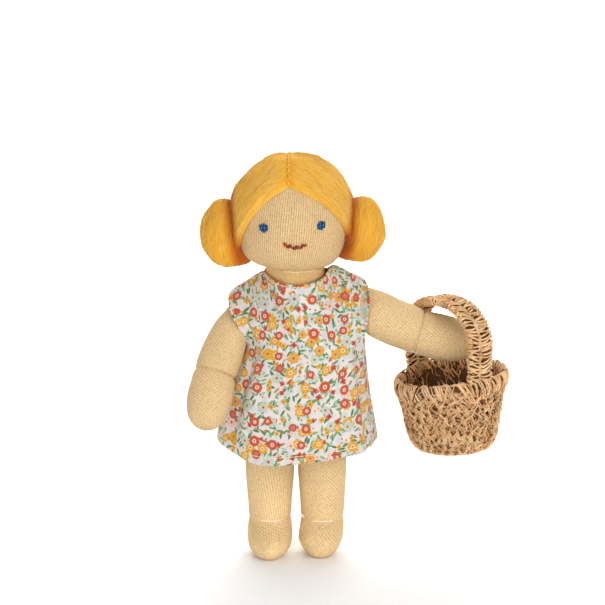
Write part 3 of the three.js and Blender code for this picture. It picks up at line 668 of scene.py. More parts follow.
def make_head():
    m = Mesh()
    cols, wales = 128, 150
    zs = [136.6 + 0.7 * i for i in range(9)] + [142.9 + 0.25 * i for i in range(21)] + [148.4 + 0.7 * i for i in range(69)] + [196.4, 196.8, 197.0]
    rows, uvs, along, last, warm = [], [], 0.0, None, []
    for z in zs:
        r = max(head_r(z), 0.05)
        if last:
            along += math.hypot(z - last[0], r - last[1])
        last = (z, r)
        row = []
        for c in range(cols):
            a = 2 * math.pi * c / cols - math.pi / 2
            w = 0.25 * nz(3 * math.cos(a), 3 * math.sin(a), z * 0.09)
            w += 0.22 * math.sin(23 * a + 3 * nz(2 * math.cos(a), 2 * math.sin(a), 7)) * math.exp(-(((z - 143.7) / 1.5) ** 2))
            w += 0.40 * math.exp(-(((z - 140.6 - 0.9 * math.sin(2 * a + 0.6)) / 0.9) ** 2)) + 0.25 * math.exp(-(((z - 146.3 - 0.6 * math.sin(3 * a)) / 0.8) ** 2))
            # weight of the painted light on the neck: half at its front and back, full at its sides, fading out above
            # the neck
            warm.append(smooth(148.0, 144.5, z) * (0.5 + 0.5 * smooth(0.35, 0.95, abs(math.cos(a)))))
            row.append(Vector((head_x(z) + (r + w) * math.cos(a), (r + w + (neck_front(z) if a < 0 or a > math.pi else 0) * math.sin(a) ** 2) * math.sin(a), z)))
        rows.append(row)
        uvs.append([(wales * c / cols - 0.07 * along, along / COURSE) for c in range(cols + 1)])
    base = m.grid(rows, True, uvs)
    m.fan([base + (len(zs) - 1) * cols + c for c in range(cols)], Vector((HEAD_C.x, 0, 197.12)))
    m.fan([base + c for c in range(cols)], sum(rows[0], Vector()) / cols, uvs[0], uvs[0][0], flip=True)
    ob = m.build("head_cloth", KNIT_FACE, shade=warm + [0.0, 0.5])
    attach(ob, "head")
    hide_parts("head_skin", "head_wool_core")

    # gathered thread around the neck, just above the dress: a line of pale stitches
    m = Mesh()
    pts = []
    for i in range(72):
        a = 2 * math.pi * i / 72
        r = 14.35 + 0.12 * math.sin(9 * a)
        f = neck_front(143.7) * math.sin(a) ** 2 if math.sin(a) < 0 else 0
        pts.append(Vector((-0.3 + r * math.cos(a), (r + f) * math.sin(a), 143.7 + 0.15 * math.sin(5 * a + 1))))
    m.tube(pts, 0.2, 6, closed=True)
    front = Mesh()
    for k in range(8):
        x0 = -5.6 + 1.85 * k
        bit = [Vector((x0 + 1.4 * i / 4, -math.sqrt(14.4 ** 2 - (x0 + 1.4 * i / 4 + 0.3) ** 2) - neck_front(143.7) * (1 - ((x0 + 0.3) / 14.4) ** 2) - 0.16, 143.75 + 0.15 * math.sin(k * 1.9))) for i in range(5)]
        front.tube(bit, 0.24, 6)
    ob = front.build("neck_tie_stitches", CREAM_THREAD)
    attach(ob, "head")
    ob = m.build("neck_tie", TAN_THREAD)
    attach(ob, "head")
    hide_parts("neck_thread")


make_head()


# ------------------------------------------------------------------ the hair
BUN = {
    # middle, half sizes, lean
    "right": (Vector((-35.0, -0.4, 160.2)), (11.4, 12.6, 16.9), 3.0),
    "left": (Vector((32.9, -0.4, 162.3)), (10.4, 12.4, 15.8), -6.0),
}
HAIRLINE = {
    "right": [(288.6, 187.5), (280.5, 192.5), (271, 199), (261, 208), (251, 220), (244, 234), (241, 248), (245.5, 262)],
    "left": [(288.6, 187.5), (298, 192), (309, 197), (321, 204), (332.5, 213.5), (341, 224), (345.5, 235), (346, 247)],
}
PART_FRONT, PART_BACK = math.radians(34), math.radians(222)


def parting_dir(s):
    """From the hairline over the crown to the nape."""
    a = lerp(PART_FRONT, PART_BACK, s)
    x = lerp(-0.055, -0.01, s)
    return Vector((x, -math.cos(a), math.sin(a))).normalized()


def strand_field(side):
    centre = BUN[side][0]
    b = (centre - HEAD_C).normalized()
    e1 = Vector((0, -1, 0))
    e1 = (e1 - b * e1.dot(b)).normalized()
    e2 = Vector((0, 0, 1)) - b * b.z
    e2.normalize()
    line = [face_dir(*p) for p in HAIRLINE[side]]
    front = spline([i / (len(line) - 1) for i in range(len(line))], line)
    rho = math.radians(15)

    def at(s, t):
        psi = math.radians(lerp(-75, 235, s))
        e = b * math.cos(rho) + (e1 * math.cos(psi) + e2 * math.sin(psi)) * math.sin(rho)
        g = slerp(parting_dir(s), e, t)
        # behind, the wool sags a little below the straight way
        g = (g + Vector((0, 0, -0.22)) * math.sin(math.pi * t) * smooth(0.55, 1.0, s)).normalized()
        k = smooth(0.0, 0.42, s)
        f = (front(t) + (parting_dir(s) - parting_dir(0)) * (1 - t)).normalized()
        return lerp(f, g, k).normalized()

    return at


FIELD = {s: strand_field(s) for s in SIDE}


def hair_lift(side, s, t):
    """How far the wool stands off the head."""
    d = FIELD[side](s, t)
    full = 3.0 - 0.9 * smooth(0.72, 0.98, d.z) - 1.2 * smooth(0.1, 0.6, -d.x) * smooth(0.35, 0.75, d.z)
    edge = math.sqrt(clamp(s / 0.05)) * math.sqrt(clamp((1 - s) / 0.05))
    part = 0.60 + 0.40 * smooth(0.0, 0.10, t)
    sd = SIDE[side] * 7.3
    bend = 1.6 * nz(s * 4 + sd, t * 2.5, 2)
    locks = 0.60 * nz(s * 6 + sd, t * 1.1, 1.0) + 0.30 * nz(s * 18 + bend + sd, t * 1.8, 5.0)
    grooves = 0.22 * nz(s * 58 + 2 * bend + sd, t * 2.6, 9.0) + 0.16 * nz(s * 120 + 4 * bend + sd, t * 4.0, 3.0)
    return 0.25 + edge * (full * part + locks * smooth(0.02, 0.2, t) + grooves * smooth(0.0, 0.08, t))


def bun_fold_painted_shade(side, p):
    """How deep a point of the combed wool lies in the fold beside the bun, which weights the painted shade there."""
    c, size, roll = BUN[side]
    q = p - c
    k = math.sqrt((q.x / size[0]) ** 2 + (q.y / size[1]) ** 2 + (q.z / size[2]) ** 2)
    return smooth(1.6, 0.95, k)


def head_fold_painted_shade(p):
    """How deep a point of a bun lies in the fold beside the head, which weights the painted shade there."""
    d = p - HEAD_C
    return smooth(6.5, 0.6, d.length - _polar_at(math.acos(clamp(d.z / d.length, -1, 1))) - 2.6)


def make_hair():
    for side in SIDE:
        at = FIELD[side]
        m = Mesh()
        ns, nt = 340, 60
        rows, uvs = [], []
        for i in range(ns + 1):
            s = i / ns
            row, uv = [], []
            for j in range(nt + 1):
                t = j / nt
                d = at(s, t)
                row.append(on_head(d, hair_lift(side, s, t)))
                uv.append((s * 130 + (0 if side == "left" else 300), t * 46))
            rows.append(row)
            uvs.append(uv)
        m.grid(rows, False, uvs, flip=(side == "left"))
        ob = m.build(f"{side}_hair_combed", HAIR, shade=[bun_fold_painted_shade(side, p) for p in m.v])
        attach(ob, "head")
        if side == "right":
            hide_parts("hair_cap")
        # single fibres that lie on the wool, and a few that stand off it
        rnd = random.Random(11 + SIDE[side])
        light, deep = Mesh(), Mesh()
        for k in range(1700):
            s, t0 = rnd.uniform(0.004, 0.99), rnd.uniform(0.0, 0.8)
            t1 = min(t0 + rnd.uniform(0.10, 0.3), 0.98)
            drift, off = rnd.uniform(-0.05, 0.05) * (3 if k % 4 == 1 else 1), rnd.uniform(-0.03, 0.18)
            stray = rnd.uniform(0.4, 1.6) if rnd.random() < 0.10 else 0.0
            pts = []
            for i in range(8):
                q = i / 7
                t = lerp(t0, t1, q)
                si = clamp(s + drift * q, 0.003, 0.995)
                pts.append(on_head(at(si, t), hair_lift(side, si, t) + off + stray * math.sin(math.pi * q) ** 2))
            r = rnd.uniform(0.06, 0.12) if not stray else 0.07
            (deep if k % 4 == 0 and not stray else light).tube(pts, lambda t, r=r: r * (1 - 0.6 * abs(2 * t - 1)), 4, caps=False, v0=rnd.uniform(0, 90))
        for name, mesh, material in (("fibres", light, WISP), ("deep_fibres", deep, TUFT)):
            ob = mesh.build(f"{side}_hair_{name}", material, shade=[bun_fold_painted_shade(side, p) for p in mesh.v])
            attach(ob, "head")


make_hair()


def make_buns():
    for side, (c, size, roll) in BUN.items():
        sg = SIDE[side]
        ca, sa = math.cos(math.radians(roll)), math.sin(math.radians(roll))

        def wound(pol, a, lift=0.0):
            """Point of the bun and how far round its winding it lies; pol runs from the outer end to the head."""
            d = Vector((sg * math.cos(pol), math.sin(pol) * math.cos(a), math.sin(pol) * math.sin(a)))
            w = pol * 3.0 - a * 0.5 * sg + 0.9 * nz(d.x * 1.4, d.y * 1.4, d.z * 1.4 + sg)
            wind = abs(math.sin(w)) ** 0.6
            strand = nz(w * 7 + 4 * sg, a * 0.8, 3.0) + 0.6 * nz(w * 17 + 4 * sg, a * 1.1, 7.0)
            lump = nz(d.x * 1.3 + 5 * sg, d.y * 1.3, d.z * 1.3)
            k = 0.975 + 0.036 * wind + 0.012 * strand + 0.045 * lump
            p = Vector((d.x * size[0], d.y * size[1], d.z * size[2])) * k + d * lift
            # the lower inner side is broad, under the jaw
            p.x -= sg * (0.85 * smooth(0.0, 0.5, -sg * d.x) * abs(p.x) + 1.6) * smooth(0.25, 0.9, -d.z)
            return c + Vector((p.x * ca + p.z * sa, p.y, -p.x * sa + p.z * ca)), w

        m = Mesh()
        nu, nv = 170, 120
        rows, uvs = [], []
        for j in range(nv + 1):
            pol = math.pi * (0.004 + 0.992 * j / nv)
            row, uv = [], []
            for i in range(nu):
                a = 2 * math.pi * i / nu
                p, w = wound(pol, a)
                row.append(p)
                uv.append((w * 13 + 60 * sg, a * 12))
            uv.append((uv[0][0] - 2 * math.pi * 0.5 * sg * 13, 2 * math.pi * 12))
            rows.append(row)
            uvs.append(uv)
        m.grid(rows, True, uvs, flip=(side == "right"))
        m.fan(list(range(nu)), sum(rows[0], Vector()) / nu, uvs[0], uvs[0][0], flip=(side == "left"))
        ob = m.build(f"{side}_bun", COILED, shade=[head_fold_painted_shade(p) for p in m.v])
        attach(ob, "head")
        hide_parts(f"{side}_hair_bun")
        rnd = random.Random(31 + sg)
        light, deep = Mesh(), Mesh()
        for k in range(380):
            pol, a0 = rnd.uniform(0.2, 2.3), rnd.uniform(0, 6.283)
            span, drift = rnd.uniform(0.3, 0.9), rnd.uniform(-0.22, 0.22) + 0.16 * sg
            off = rnd.uniform(-0.03, 0.18)
            stray = rnd.uniform(0.4, 1.6) if rnd.random() < 0.12 else 0.0
            pts = [wound(pol + drift * i / 7, a0 + span * i / 7, off + stray * math.sin(math.pi * i / 7) ** 2)[0] for i in range(8)]
            r = rnd.uniform(0.06, 0.12) if not stray else 0.07
            (deep if k % 4 == 0 and not stray else light).tube(pts, lambda t, r=r: r * (1 - 0.6 * abs(2 * t - 1)), 4, caps=False, v0=rnd.uniform(0, 90))
        for name, mesh, material in (("fibres", light, WISP), ("deep_fibres", deep, TUFT)):
            ob = mesh.build(f"{side}_bun_{name}", material, shade=[head_fold_painted_shade(p) for p in mesh.v])
            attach(ob, "head")


make_buns()


# ------------------------------------------------------------------ embroidery
def stitch(m, a, b, r, lift=0.0, normal=None, flat=0.75, bow=0.35):
    """One straight stitch that sinks into the cloth at both ends."""
    nrm = normal.normalized()
    pts = []
    for i in range(7):
        t = i / 6
        pts.append(lerp(a, b, t) + nrm * (lift + bow * r * math.sin(math.pi * t) * 2 - r * 0.45 * abs(2 * t - 1) ** 3))
    m.tube(pts, lambda t: r * (0.78 + 0.22 * math.sin(math.pi * t)), 8, flat=flat, up=(b - a).cross(nrm))


def make_face():
    for side, px, py in (("right", 264, 228), ("left", 321, 225.6)):
        m = Mesh()
        d = face_dir(px, py)
        c, nrm = on_head(d), d.copy()
        nrm = (on_head(d, 1.0) - on_head(d)).normalized()
        x = Vector((1, 0, 0)) - nrm * nrm.x
        x.normalize()
        y = nrm.cross(x)
        if y.z < 0:
            y.negate()
        R = 2.25
        # a dark domed pad, satin stitches over it, then a few crossing threads woven in
        pad = []
        for j in range(5):
            q = j / 4
            pad.append([c + (x * math.cos(a) + y * math.sin(a)) * (R * 0.98 * math.cos(q * 1.45)) + nrm * (0.05 + 0.5 * math.sin(q * 1.45)) for a in (2 * math.pi * i / 24 for i in range(24))])
        back = Mesh()
        base = back.grid(pad, True, [[(i / 6, j) for i in range(25)] for j in range(5)])
        back.fan([base + 4 * 24 + i for i in range(24)], c + nrm * 0.56)
        n = 5
        highlight_stitches = Mesh()
        for k in range(n):
            o = (k - (n - 1) / 2) / (n / 2) * R * 0.98
            h = math.sqrt(max(R * R - o * o, 0.2))
            tilt = 0.35 * math.sin(2.1 * k + SIDE[side])
            # stitches 1 and 3 take the lighter blue thread as painted highlight
            stitch(highlight_stitches if k in (1, 3) else m, c + x * (o - tilt) - y * h, c + x * (o + tilt) + y * h, 0.30, 0.32 + 0.28 * (h / R), nrm, 0.8, 0.25)
        for o, lean in ((-1.1, 0.9), (0.75, 0.8)):
            h = math.sqrt(R * R - o * o)
            stitch(back, c + y * o - x * (h * 1.02), c + y * (o + lean) + x * (h * 0.95), 0.22, 0.74 + 0.22 * (h / R), nrm, 0.8, 0.25)
        ob = highlight_stitches.build(f"{side}_eye_painted_highlight_stitches", EYE_HIGHLIGHT_THREAD)
        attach(ob, "head")
        ob = m.build(f"{side}_eye_stitches", BLUE_THREAD)
        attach(ob, "head")
        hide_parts(f"{side}_eye")
        ob = back.build(f"{side}_eye_pad", NAVY_THREAD)
        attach(ob, "head")
    pts = [(284.6, 243.9), (287.3, 245.4), (290.0, 246.1), (293.3, 247.1), (296.6, 247.1), (299.8, 246.9), (302.6, 245.5), (305.6, 244.2)]
    two = (Mesh(), Mesh())
    for i, ((ax, ay), (bx, by)) in enumerate(zip(pts, pts[1:])):
        tip = (0.9, -1.0, 0.7, -0.8, 1.0, -0.6, 0.8)[i]
        a, b = on_head(face_dir(ax - 0.5, ay - tip)), on_head(face_dir(bx + 0.5, by + tip * 0.8))
        stitch(two[i % 2], a, b, 0.74 - 0.06 * (i % 3), 0.30 + 0.14 * (i % 2), (a + b) / 2 - HEAD_C, 0.85, 0.5)
    for name, mesh, material in (("mouth_stitches", two[0], RUST_THREAD), ("mouth_stitches_dark", two[1], WINE_THREAD)):
        ob = mesh.build(name, material)
        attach(ob, "head")
        if mesh is two[0]:
            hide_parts("mouth_stitch")
    # back stitches along the parting
    m = Mesh()
    n = 40
    rnd = random.Random(3)
    for i in range(n):
        s0, s1 = 0.004 + 0.80 * i / n, 0.004 + 0.80 * (i + 1.15) / n
        a, b = (on_head(parting_dir(q), max(hair_lift("right", max(q, 0.05), 0.0), hair_lift("left", max(q, 0.05), 0.0)) - 0.5 * smooth(0.06, 0.26, q)) for q in (s0, s1))
        k = Vector(((0.8 if i % 2 else -0.8) + rnd.uniform(-0.35, 0.35), 0, 0))
        o = Vector((rnd.uniform(-0.3, 0.3), 0, 0))
        stitch(m, a - k + o, b + k + o, rnd.uniform(0.52, 0.70), 0.12, (a + b) / 2 - HEAD_C, 0.85, 0.5)
    ob = m.build("parting_back_stitches", GOLD_THREAD)
    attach(ob, "head")
    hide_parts("parting_stitches")


make_face()


# ------------------------------------------------------------------ limbs
held_out = table([(-8, 0.9), (0, 1.0), (3, 1.05), (6.5, 1.22), (10, 1.24), (14, 1.16), (22, 1.08), (31, 1.05), (40, 1.03), (60, 1.0)])
arm_r = table(
    [(-7.5, 0.0), (-6.9, 2.9), (-5.6, 5.0), (-3.4, 6.7), (0, 7.6), (5, 8.3), (10, 9.2), (16, 10.0), (22, 10.4), (26.5, 10.4), (29.0, 10.25),
     (30.2, 9.9), (30.75, 9.4), (31.0, 9.15), (31.25, 9.4), (31.8, 9.9), (33.0, 10.35), (36, 10.7), (41, 11.0), (46, 10.8), (51, 9.8), (55, 8.1),
     (57.4, 6.1), (58.7, 4.0), (59.35, 2.0), (59.6, 0.0)]
)


def make_arm(side):
    S, W, T = SHOULDER[side], WRIST[side], TIP[side]
    L = (W - S).length
    d0, d1 = (W - S).normalized(), (T - W).normalized()
    m = Mesh()
    cols = 64
    us = []
    u = -7.48
    while u < 59.56:
        us.append(u)
        near = min(abs(u - 31), abs(u + 7.5) * 1.2, abs(u - 59.6) * 0.7)
        u += clamp(near * 0.22, 0.12 if u > 58 else 0.22, 0.9)
    us.append(59.58)
    rows, uvs = [], []
    x0 = Vector((0, 1, 0)) if side == "left" else Vector((1, 0, 0))
    for u in us:
        s = u * L / 31.0 if u < 31 else L + (u - 31.0) * (T - W).length / 28.6
        k = smooth(L - 4, L + 4, s)
        d = slerp(d0, d1, k)
        c = S + d0 * s if s <= L else W + d1 * (s - L)
        if side == "left":
            c = c + Vector((0, 0, 1.3 * (1 - smooth(5, 21, s)) * smooth(-3, 4, s) - 0.6 * smooth(31, 42, s)))
        x = (x0 - d * x0.dot(d)).normalized()
        y = d.cross(x)
        r = max(arm_r(u), 0.02)
        r *= held_out(s) if side == "left" else lerp(0.9, 1.0, smooth(-2, 9, s)) * lerp(0.82, 1.0, smooth(-4, 6, s))
        row = []
        for i in range(cols):
            a = 2 * math.pi * i / cols
            w = 1 + 0.022 * nz(2 * math.cos(a) + 9 * SIDE[side], 2 * math.sin(a), s * 0.07) + 0.01 * nz(5 * math.cos(a), 5 * math.sin(a), s * 0.2)
            # tiny gathers beside the crease
            g = 0.10 * math.exp(-abs(s - L) / 1.6) * math.sin(11 * a + 2 * nz(a, s))
            way = x * math.cos(a) + y * math.sin(a)
            q = c + way * (r * w + g * clamp(r / 5))
            # the root of the held-out arm fills the top of its armhole
            if side == "left":
                q.z += 3.2 * clamp(way.z) ** 1.3 * smooth(8.5, 1.0, s) * smooth(-7.0, -2.0, s)
            row.append(q)
        rows.append(row)
        uvs.append([knit_uv(i / cols, s, 65.0, -22 if side == "left" else 57) for i in range(cols + 1)])
    base = m.grid(rows, True, uvs)
    last = base + (len(rows) - 1) * cols
    m.fan([base + i for i in range(cols)], sum(rows[0], Vector()) / cols, uvs[0], uvs[0][0], flip=True)
    m.fan([last + i for i in range(cols)], sum(rows[-1], Vector()) / cols, uvs[-1], uvs[-1][0])
    ob = m.build(f"{side}_arm_cloth", KNIT)
    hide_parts(f"{side}_arm_skin", f"{side}_arm_filling", f"{side}_hand_skin", f"{side}_hand_filling")
    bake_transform(ob)


for side in SIDE:
    make_arm(side)

LEG = [
    # height, half width, half length, how far its middle lies forward
    (73.1, 0.3, 0.3, 0), (72.6, 2.9, 2.9, 0), (71.4, 5.3, 5.3, 0), (69.0, 7.6, 7.6, 0), (64.0, 9.4, 9.4, 0), (58.0, 10.8, 10.8, 0),
    (50.0, 11.9, 11.9, 0), (42.0, 12.0, 12.0, 0), (32.0, 11.4, 11.4, 0), (24.0, 10.8, 10.8, 0), (20.4, 10.65, 10.65, 0), (18.6, 10.4, 10.4, 0),
    (17.85, 10.1, 10.1, 0), (17.5, 9.95, 9.95, 0), (17.15, 10.1, 10.15, -0.1), (16.4, 10.4, 10.55, -0.4), (15.0, 10.7, 11.3, -1.3), (12.5, 10.9, 12.6, -2.9),
    (9.0, 11.0, 13.8, -4.3), (6.0, 10.7, 14.1, -4.9), (4.0, 10.0, 13.7, -5.0), (2.2, 8.9, 12.7, -4.9), (1.0, 7.7, 11.5, -4.7), (0.3, 6.6, 10.2, -4.5), (0.0, 5.9, 9.4, -4.4),
]


def make_leg(side):
    sg = SIDE[side]
    zs = [r[0] for r in LEG][::-1]
    fa, fb, fy = (spline(zs, [r[k] for r in LEG][::-1]) for k in (1, 2, 3))
    m = Mesh()
    cols = 72
    levels = []
    z = 73.05
    while z > 0.02:
        levels.append(z)
        near = min(abs(z - 17.5), abs(z - 73.1) * 1.5, z * 0.9)
        z -= clamp(near * 0.22, 0.16, 0.9)
    levels.append(0.0)
    rows, uvs, along = [], [], 0.0
    for z in levels:
        a0, b0, y0 = max(fa(z), 0.02), max(fb(z), 0.02), fy(z)
        toe = smooth(16, 6, z)
        x0 = sg * HIP_X
        if side == "right":
            b0, y0 = b0 + 1.6 * toe, y0 - 1.6 * toe
        else:
            a0, x0 = a0 * (1 - 0.09 * smooth(9, 2, z)), x0 - 0.9 * toe
        row = []
        for i in range(cols):
            a = 2 * math.pi * i / cols + math.pi / 2
            w = 1 + (0.02 * nz(2 * math.cos(a) + 5 * sg, 2 * math.sin(a), z * 0.06) + 0.01 * nz(5 * math.cos(a), 5 * math.sin(a) + sg, z * 0.2)) * smooth(0, 2.5, z)
            g = 0.10 * math.exp(-abs(z - 17.5) / 1.5) * math.sin(12 * a + sg)
            row.append(Vector((x0 + (a0 * w + g) * math.cos(a), y0 + (b0 * w + g) * math.sin(a), z)))
        rows.append(row)
        uvs.append([knit_uv(i / cols, 73 - z, 68.0, -44 if side == "left" else -8) for i in range(cols + 1)])
    base = m.grid(rows, True, uvs, flip=True)
    last = base + (len(levels) - 1) * cols
    m.fan([last + i for i in range(cols)], Vector((x0, y0, 0)), uvs[-1], uvs[-1][0], flip=True)
    m.fan([base + i for i in range(cols)], Vector((sg * HIP_X, 0, 73.12)), uvs[0], uvs[0][0])
    ob = m.build(f"{side}_leg_cloth", KNIT)
    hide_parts(f"{side}_leg_skin", f"{side}_leg_filling", f"{side}_foot_skin", f"{side}_foot_filling")
    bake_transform(ob)


for side in SIDE:
    make_leg(side)


def make_crease_threads():
    # the thread that draws each ankle in shows as one straight stitch in front
    for side, x0, x1, z in (("right", -17.0, -8.0, 17.6), ("left", 8.5, 17.8, 17.5)):
        m = Mesh()
        cx = SIDE[side] * HIP_X
        pts = []
        for i in range(15):
            x = lerp(x0, x1, i / 14)
            y = -9.98 * math.sqrt(max(1 - ((x - cx) / 9.95) ** 2, 0.02)) - 0.16
            pts.append(Vector((x, y, z + 0.12 * math.sin(i * 0.9))))
        m.tube(pts, 0.30, 6)
        # and goes on round the back in the crease
        ring = []
        for i in range(49):
            a = math.pi * (0.08 + 0.84 * i / 48)
            ring.append(Vector((cx + 9.95 * math.cos(a), 9.95 * math.sin(a), z)))
        m.tube(ring, 0.26, 6)
        if side == "left":
            k0 = Vector((cx - 9.2, -4.6, z + 1.2))
            m.tube([k0 + Vector((0.55 * math.cos(g) - 0.2, 0.45 * math.sin(2 * g), 0.6 * math.sin(g))) for g in (2 * math.pi * i / 14 for i in range(14))], 0.38, 6, closed=True)
        ob = m.build(f"{side}_ankle_stitch", CREAM_THREAD)
        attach(ob, f"{side}_leg")
        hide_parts(f"{side}_ankle_thread")
    for side in SIDE:
        W = WRIST[side]
        d = ((W - SHOULDER[side]).normalized() + (TIP[side] - W).normalized()).normalized()
        x0 = Vector((0, 1, 0)) if side == "left" else Vector((1, 0, 0))
        x = (x0 - d * x0.dot(d)).normalized()
        y = d.cross(x)
        m = Mesh()
        # lies in the crease, half sunk, with a short end that shows on the near side
        ring = []
        for i in range(60):
            a = 2 * math.pi * i / 60
            ring.append(W + (x * math.cos(a) + y * math.sin(a)) * ((9.36 if side == "left" else 8.98) + 0.08 * math.sin(4 * a)))
        m.tube(ring, 0.16, 6, closed=True)
        if side == "left":
            for k, (b0, b1, turn) in enumerate(((-6.6, -3.4, -2.0), (-4.4, -1.2, -2.15), (-2.6, 0.6, -1.9))):
                bit = []
                for i in range(13):
                    q = i / 12
                    a = turn + 0.10 * math.sin(q * 8 + k * 2)
                    off = 11.05 - 1.2 * smooth(-2.0, 0.2, lerp(b0, b1, q)) + 0.3 * math.sin(math.pi * q)
                    bit.append(W + d * lerp(b0, b1, q) + Vector((0, math.cos(a), math.sin(a))) * off)
                m.tube(bit, 0.30, 6)
        ob = m.build(f"{side}_wrist_stitch", CREAM_THREAD)
        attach(ob, f"{side}_arm")
        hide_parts(f"{side}_wrist_thread")


make_crease_threads()


# ------------------------------------------------------------------ the body under the dress
def make_torso():
    prof = table([(73.9, 0.3), (74.0, 6.0), (74.3, 12.0), (75.6, 17.4), (80, 21.0), (88, 22.2), (98, 22.0), (108, 20.8), (117, 20.2), (124, 19.8), (130, 17.4), (135, 13.8), (137.4, 11.4)])
    depth = table([(73, 0.78), (95, 0.78), (124, 0.72), (138, 0.95)])
    m = Mesh()
    cols, wales = 80, 84
    rows, uvs = [], []
    zs = [73.9, 74.0, 74.3, 74.8] + [75.6 + 1.03 * i for i in range(61)]
    for z in zs:
        r = prof(z)
        row = []
        for i in range(cols):
            a = 2 * math.pi * i / cols
            w = 1 + 0.02 * nz(2 * math.cos(a), 2 * math.sin(a), z * 0.06)
            row.append(Vector((0.8 + r * w * math.cos(a), r * w * depth(z) * math.sin(a), z)))
        rows.append(row)
        uvs.append([(wales * i / cols, z / COURSE) for i in range(cols + 1)])
    base = m.grid(rows, True, uvs)
    m.fan([base + i for i in range(cols)], Vector((0.8, 0, 73.85)), uvs[0], uvs[0][0], flip=True)
    top = base + (len(rows) - 1) * cols
    m.fan([top + i for i in range(cols)], sum(rows[-1], Vector()) / cols, uvs[-1], uvs[-1][0])
    ob = m.build("torso_cloth", KNIT)
    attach(ob, "torso")
    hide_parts("torso_skin", "torso_wool_filling")
    # gathering threads where the limbs are sewn on
    for side in SIDE:
        for part, c, u, v, r in (
            ("shoulder", Vector((-21.25 if side == "right" else 22.7, 0, SHOULDER[side].z)), Vector((0, 1, 0)), Vector((0, 0, 1)), 4.4),
            ("hip", Vector((SIDE[side] * HIP_X, 0, 72.9)), Vector((1, 0, 0)), Vector((0, 1, 0)), 5.3),
        ):
            m = Mesh()
            pts = [c + (u * math.cos(a) + v * math.sin(a)) * (r + 0.15 * math.sin(7 * a)) for a in (2 * math.pi * i / 48 for i in range(48))]
            m.tube(pts, 0.4, 6, closed=True)
            ob = m.build(f"{side}_{part}_gather", CREAM_THREAD)
            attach(ob, "torso")
            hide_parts(f"{side}_{part}_seam")


make_torso()


# ------------------------------------------------------------------ the dress
D_A = table([(46, 41.8), (54, 40.6), (66, 38.4), (75, 36.4), (90, 32.9), (105, 29.4), (115, 28.8), (125, 30.4), (132, 29)])
D_X = table([(46, 0.5), (58, 0.5), (66, 0.8), (75, 1.2), (90, 2.6), (105, 4.7), (115, 5.0), (125, 2.2), (132, 1.2)])
D_B = table([(46, 30.6), (54, 29.8), (66, 28.2), (75, 26.6), (90, 24.0), (105, 21.4), (115, 19.8), (125, 18.2), (132, 16.4)])
HEM = table([(-90, 60.6), (-65, 58.2), (-47, 54.8), (-33, 52.1), (-18, 51.2), (0, 52.4), (17, 53.5), (36, 54.7), (55, 55.9), (75, 57.4), (90, 58.4)])
HEM_BACK = table([(-90, 60.6), (-60, 57.6), (-30, 55.6), (0, 55.0), (30, 55.4), (60, 56.6), (90, 58.4)])

# Top edge of a panel, from its right side seam to its left one: place, and the way the cloth runs there.
_top = [
    # share across, x, y, z, then run x, y, z
    (-1.00, -24.2, 0.0, 109.2, -3, 0, 6),
    (-0.94, -25.4, -5.6, 110.6, -4, 0, 9),
    (-0.85, -27.8, -10.8, 115.6, -6, 0, 14),
    (-0.74, -31.0, -9.6, 123.2, -9, 3, 16),
    (-0.68, -32.4, -5.8, 127.2, -9, 10, 13),
    (-0.62, -32.6, 0.0, 130.0, -8, 18, 10),
    (-0.46, -24.0, 0.0, 136.8, -4, 20, 9),
    (-0.30, -15.6, 0.0, 141.4, 0, 20, 8),
    (-0.24, -14.7, -6.2, 141.0, 0, 5, 9),
    (-0.16, -10.8, -13.2, 139.2, 0, 3, 8),
    (0.00, 0.6, -17.6, 137.6, 0, 2, 7),
    (0.16, 11.6, -13.4, 139.4, 0, 3, 8),
    (0.24, 15.8, -6.6, 142.4, 0, 5, 9),
    (0.30, 17.2, 0.0, 144.2, 0, 20, 9),
    (0.46, 26.0, 0.0, 141.0, 5, 20, 10),
    (0.62, 34.0, 0.0, 136.4, 8, 18, 12),
    (0.74, 35.0, -9.8, 130.2, 5, 3, 18),
    (0.85, 34.6, -11.8, 121.8, 4, 0, 14),
    (0.94, 33.6, -7.0, 113.4, 3, 0, 9),
    (1.00, 32.8, 0.0, 109.2, 2, 0, 6),
]
_xi = [r[0] for r in _top]
TOP = spline(_xi, [Vector(r[1:4]) for r in _top])
RUN = spline(_xi, [Vector(r[4:7]) for r in _top])
# At the back the neckline is higher and the armholes are less deep.
_top_b = [
    (r[0], r[1], -r[2] * (0.75 if -0.95 < r[0] < -0.63 else 1), r[3]) if abs(r[0]) > 0.29 else (r[0], r[1], {0.24: 5.4, 0.16: 10.4, 0.0: 12.6}[abs(r[0])], {0.24: 142.2, 0.16: 141.2, 0.0: 140.6}[abs(r[0])])
    for r in _top
]
TOP_B = spline(_xi, [Vector(r[1:4]) for r in _top_b])
RUN_B = spline(_xi, [Vector((r[4], -r[5], r[6])) for r in _top])
Z_YOKE = 104.0


def section(phi, z, back):
    """Point of the skirt at an angle from the middle of the panel."""
    s, c = math.sin(phi), math.cos(phi)
    y = D_B(z) * (abs(c) ** 0.86) * (1 if c >= 0 else -1)
    return Vector((D_X(z) + D_A(z) * s, y if back else -y, z))


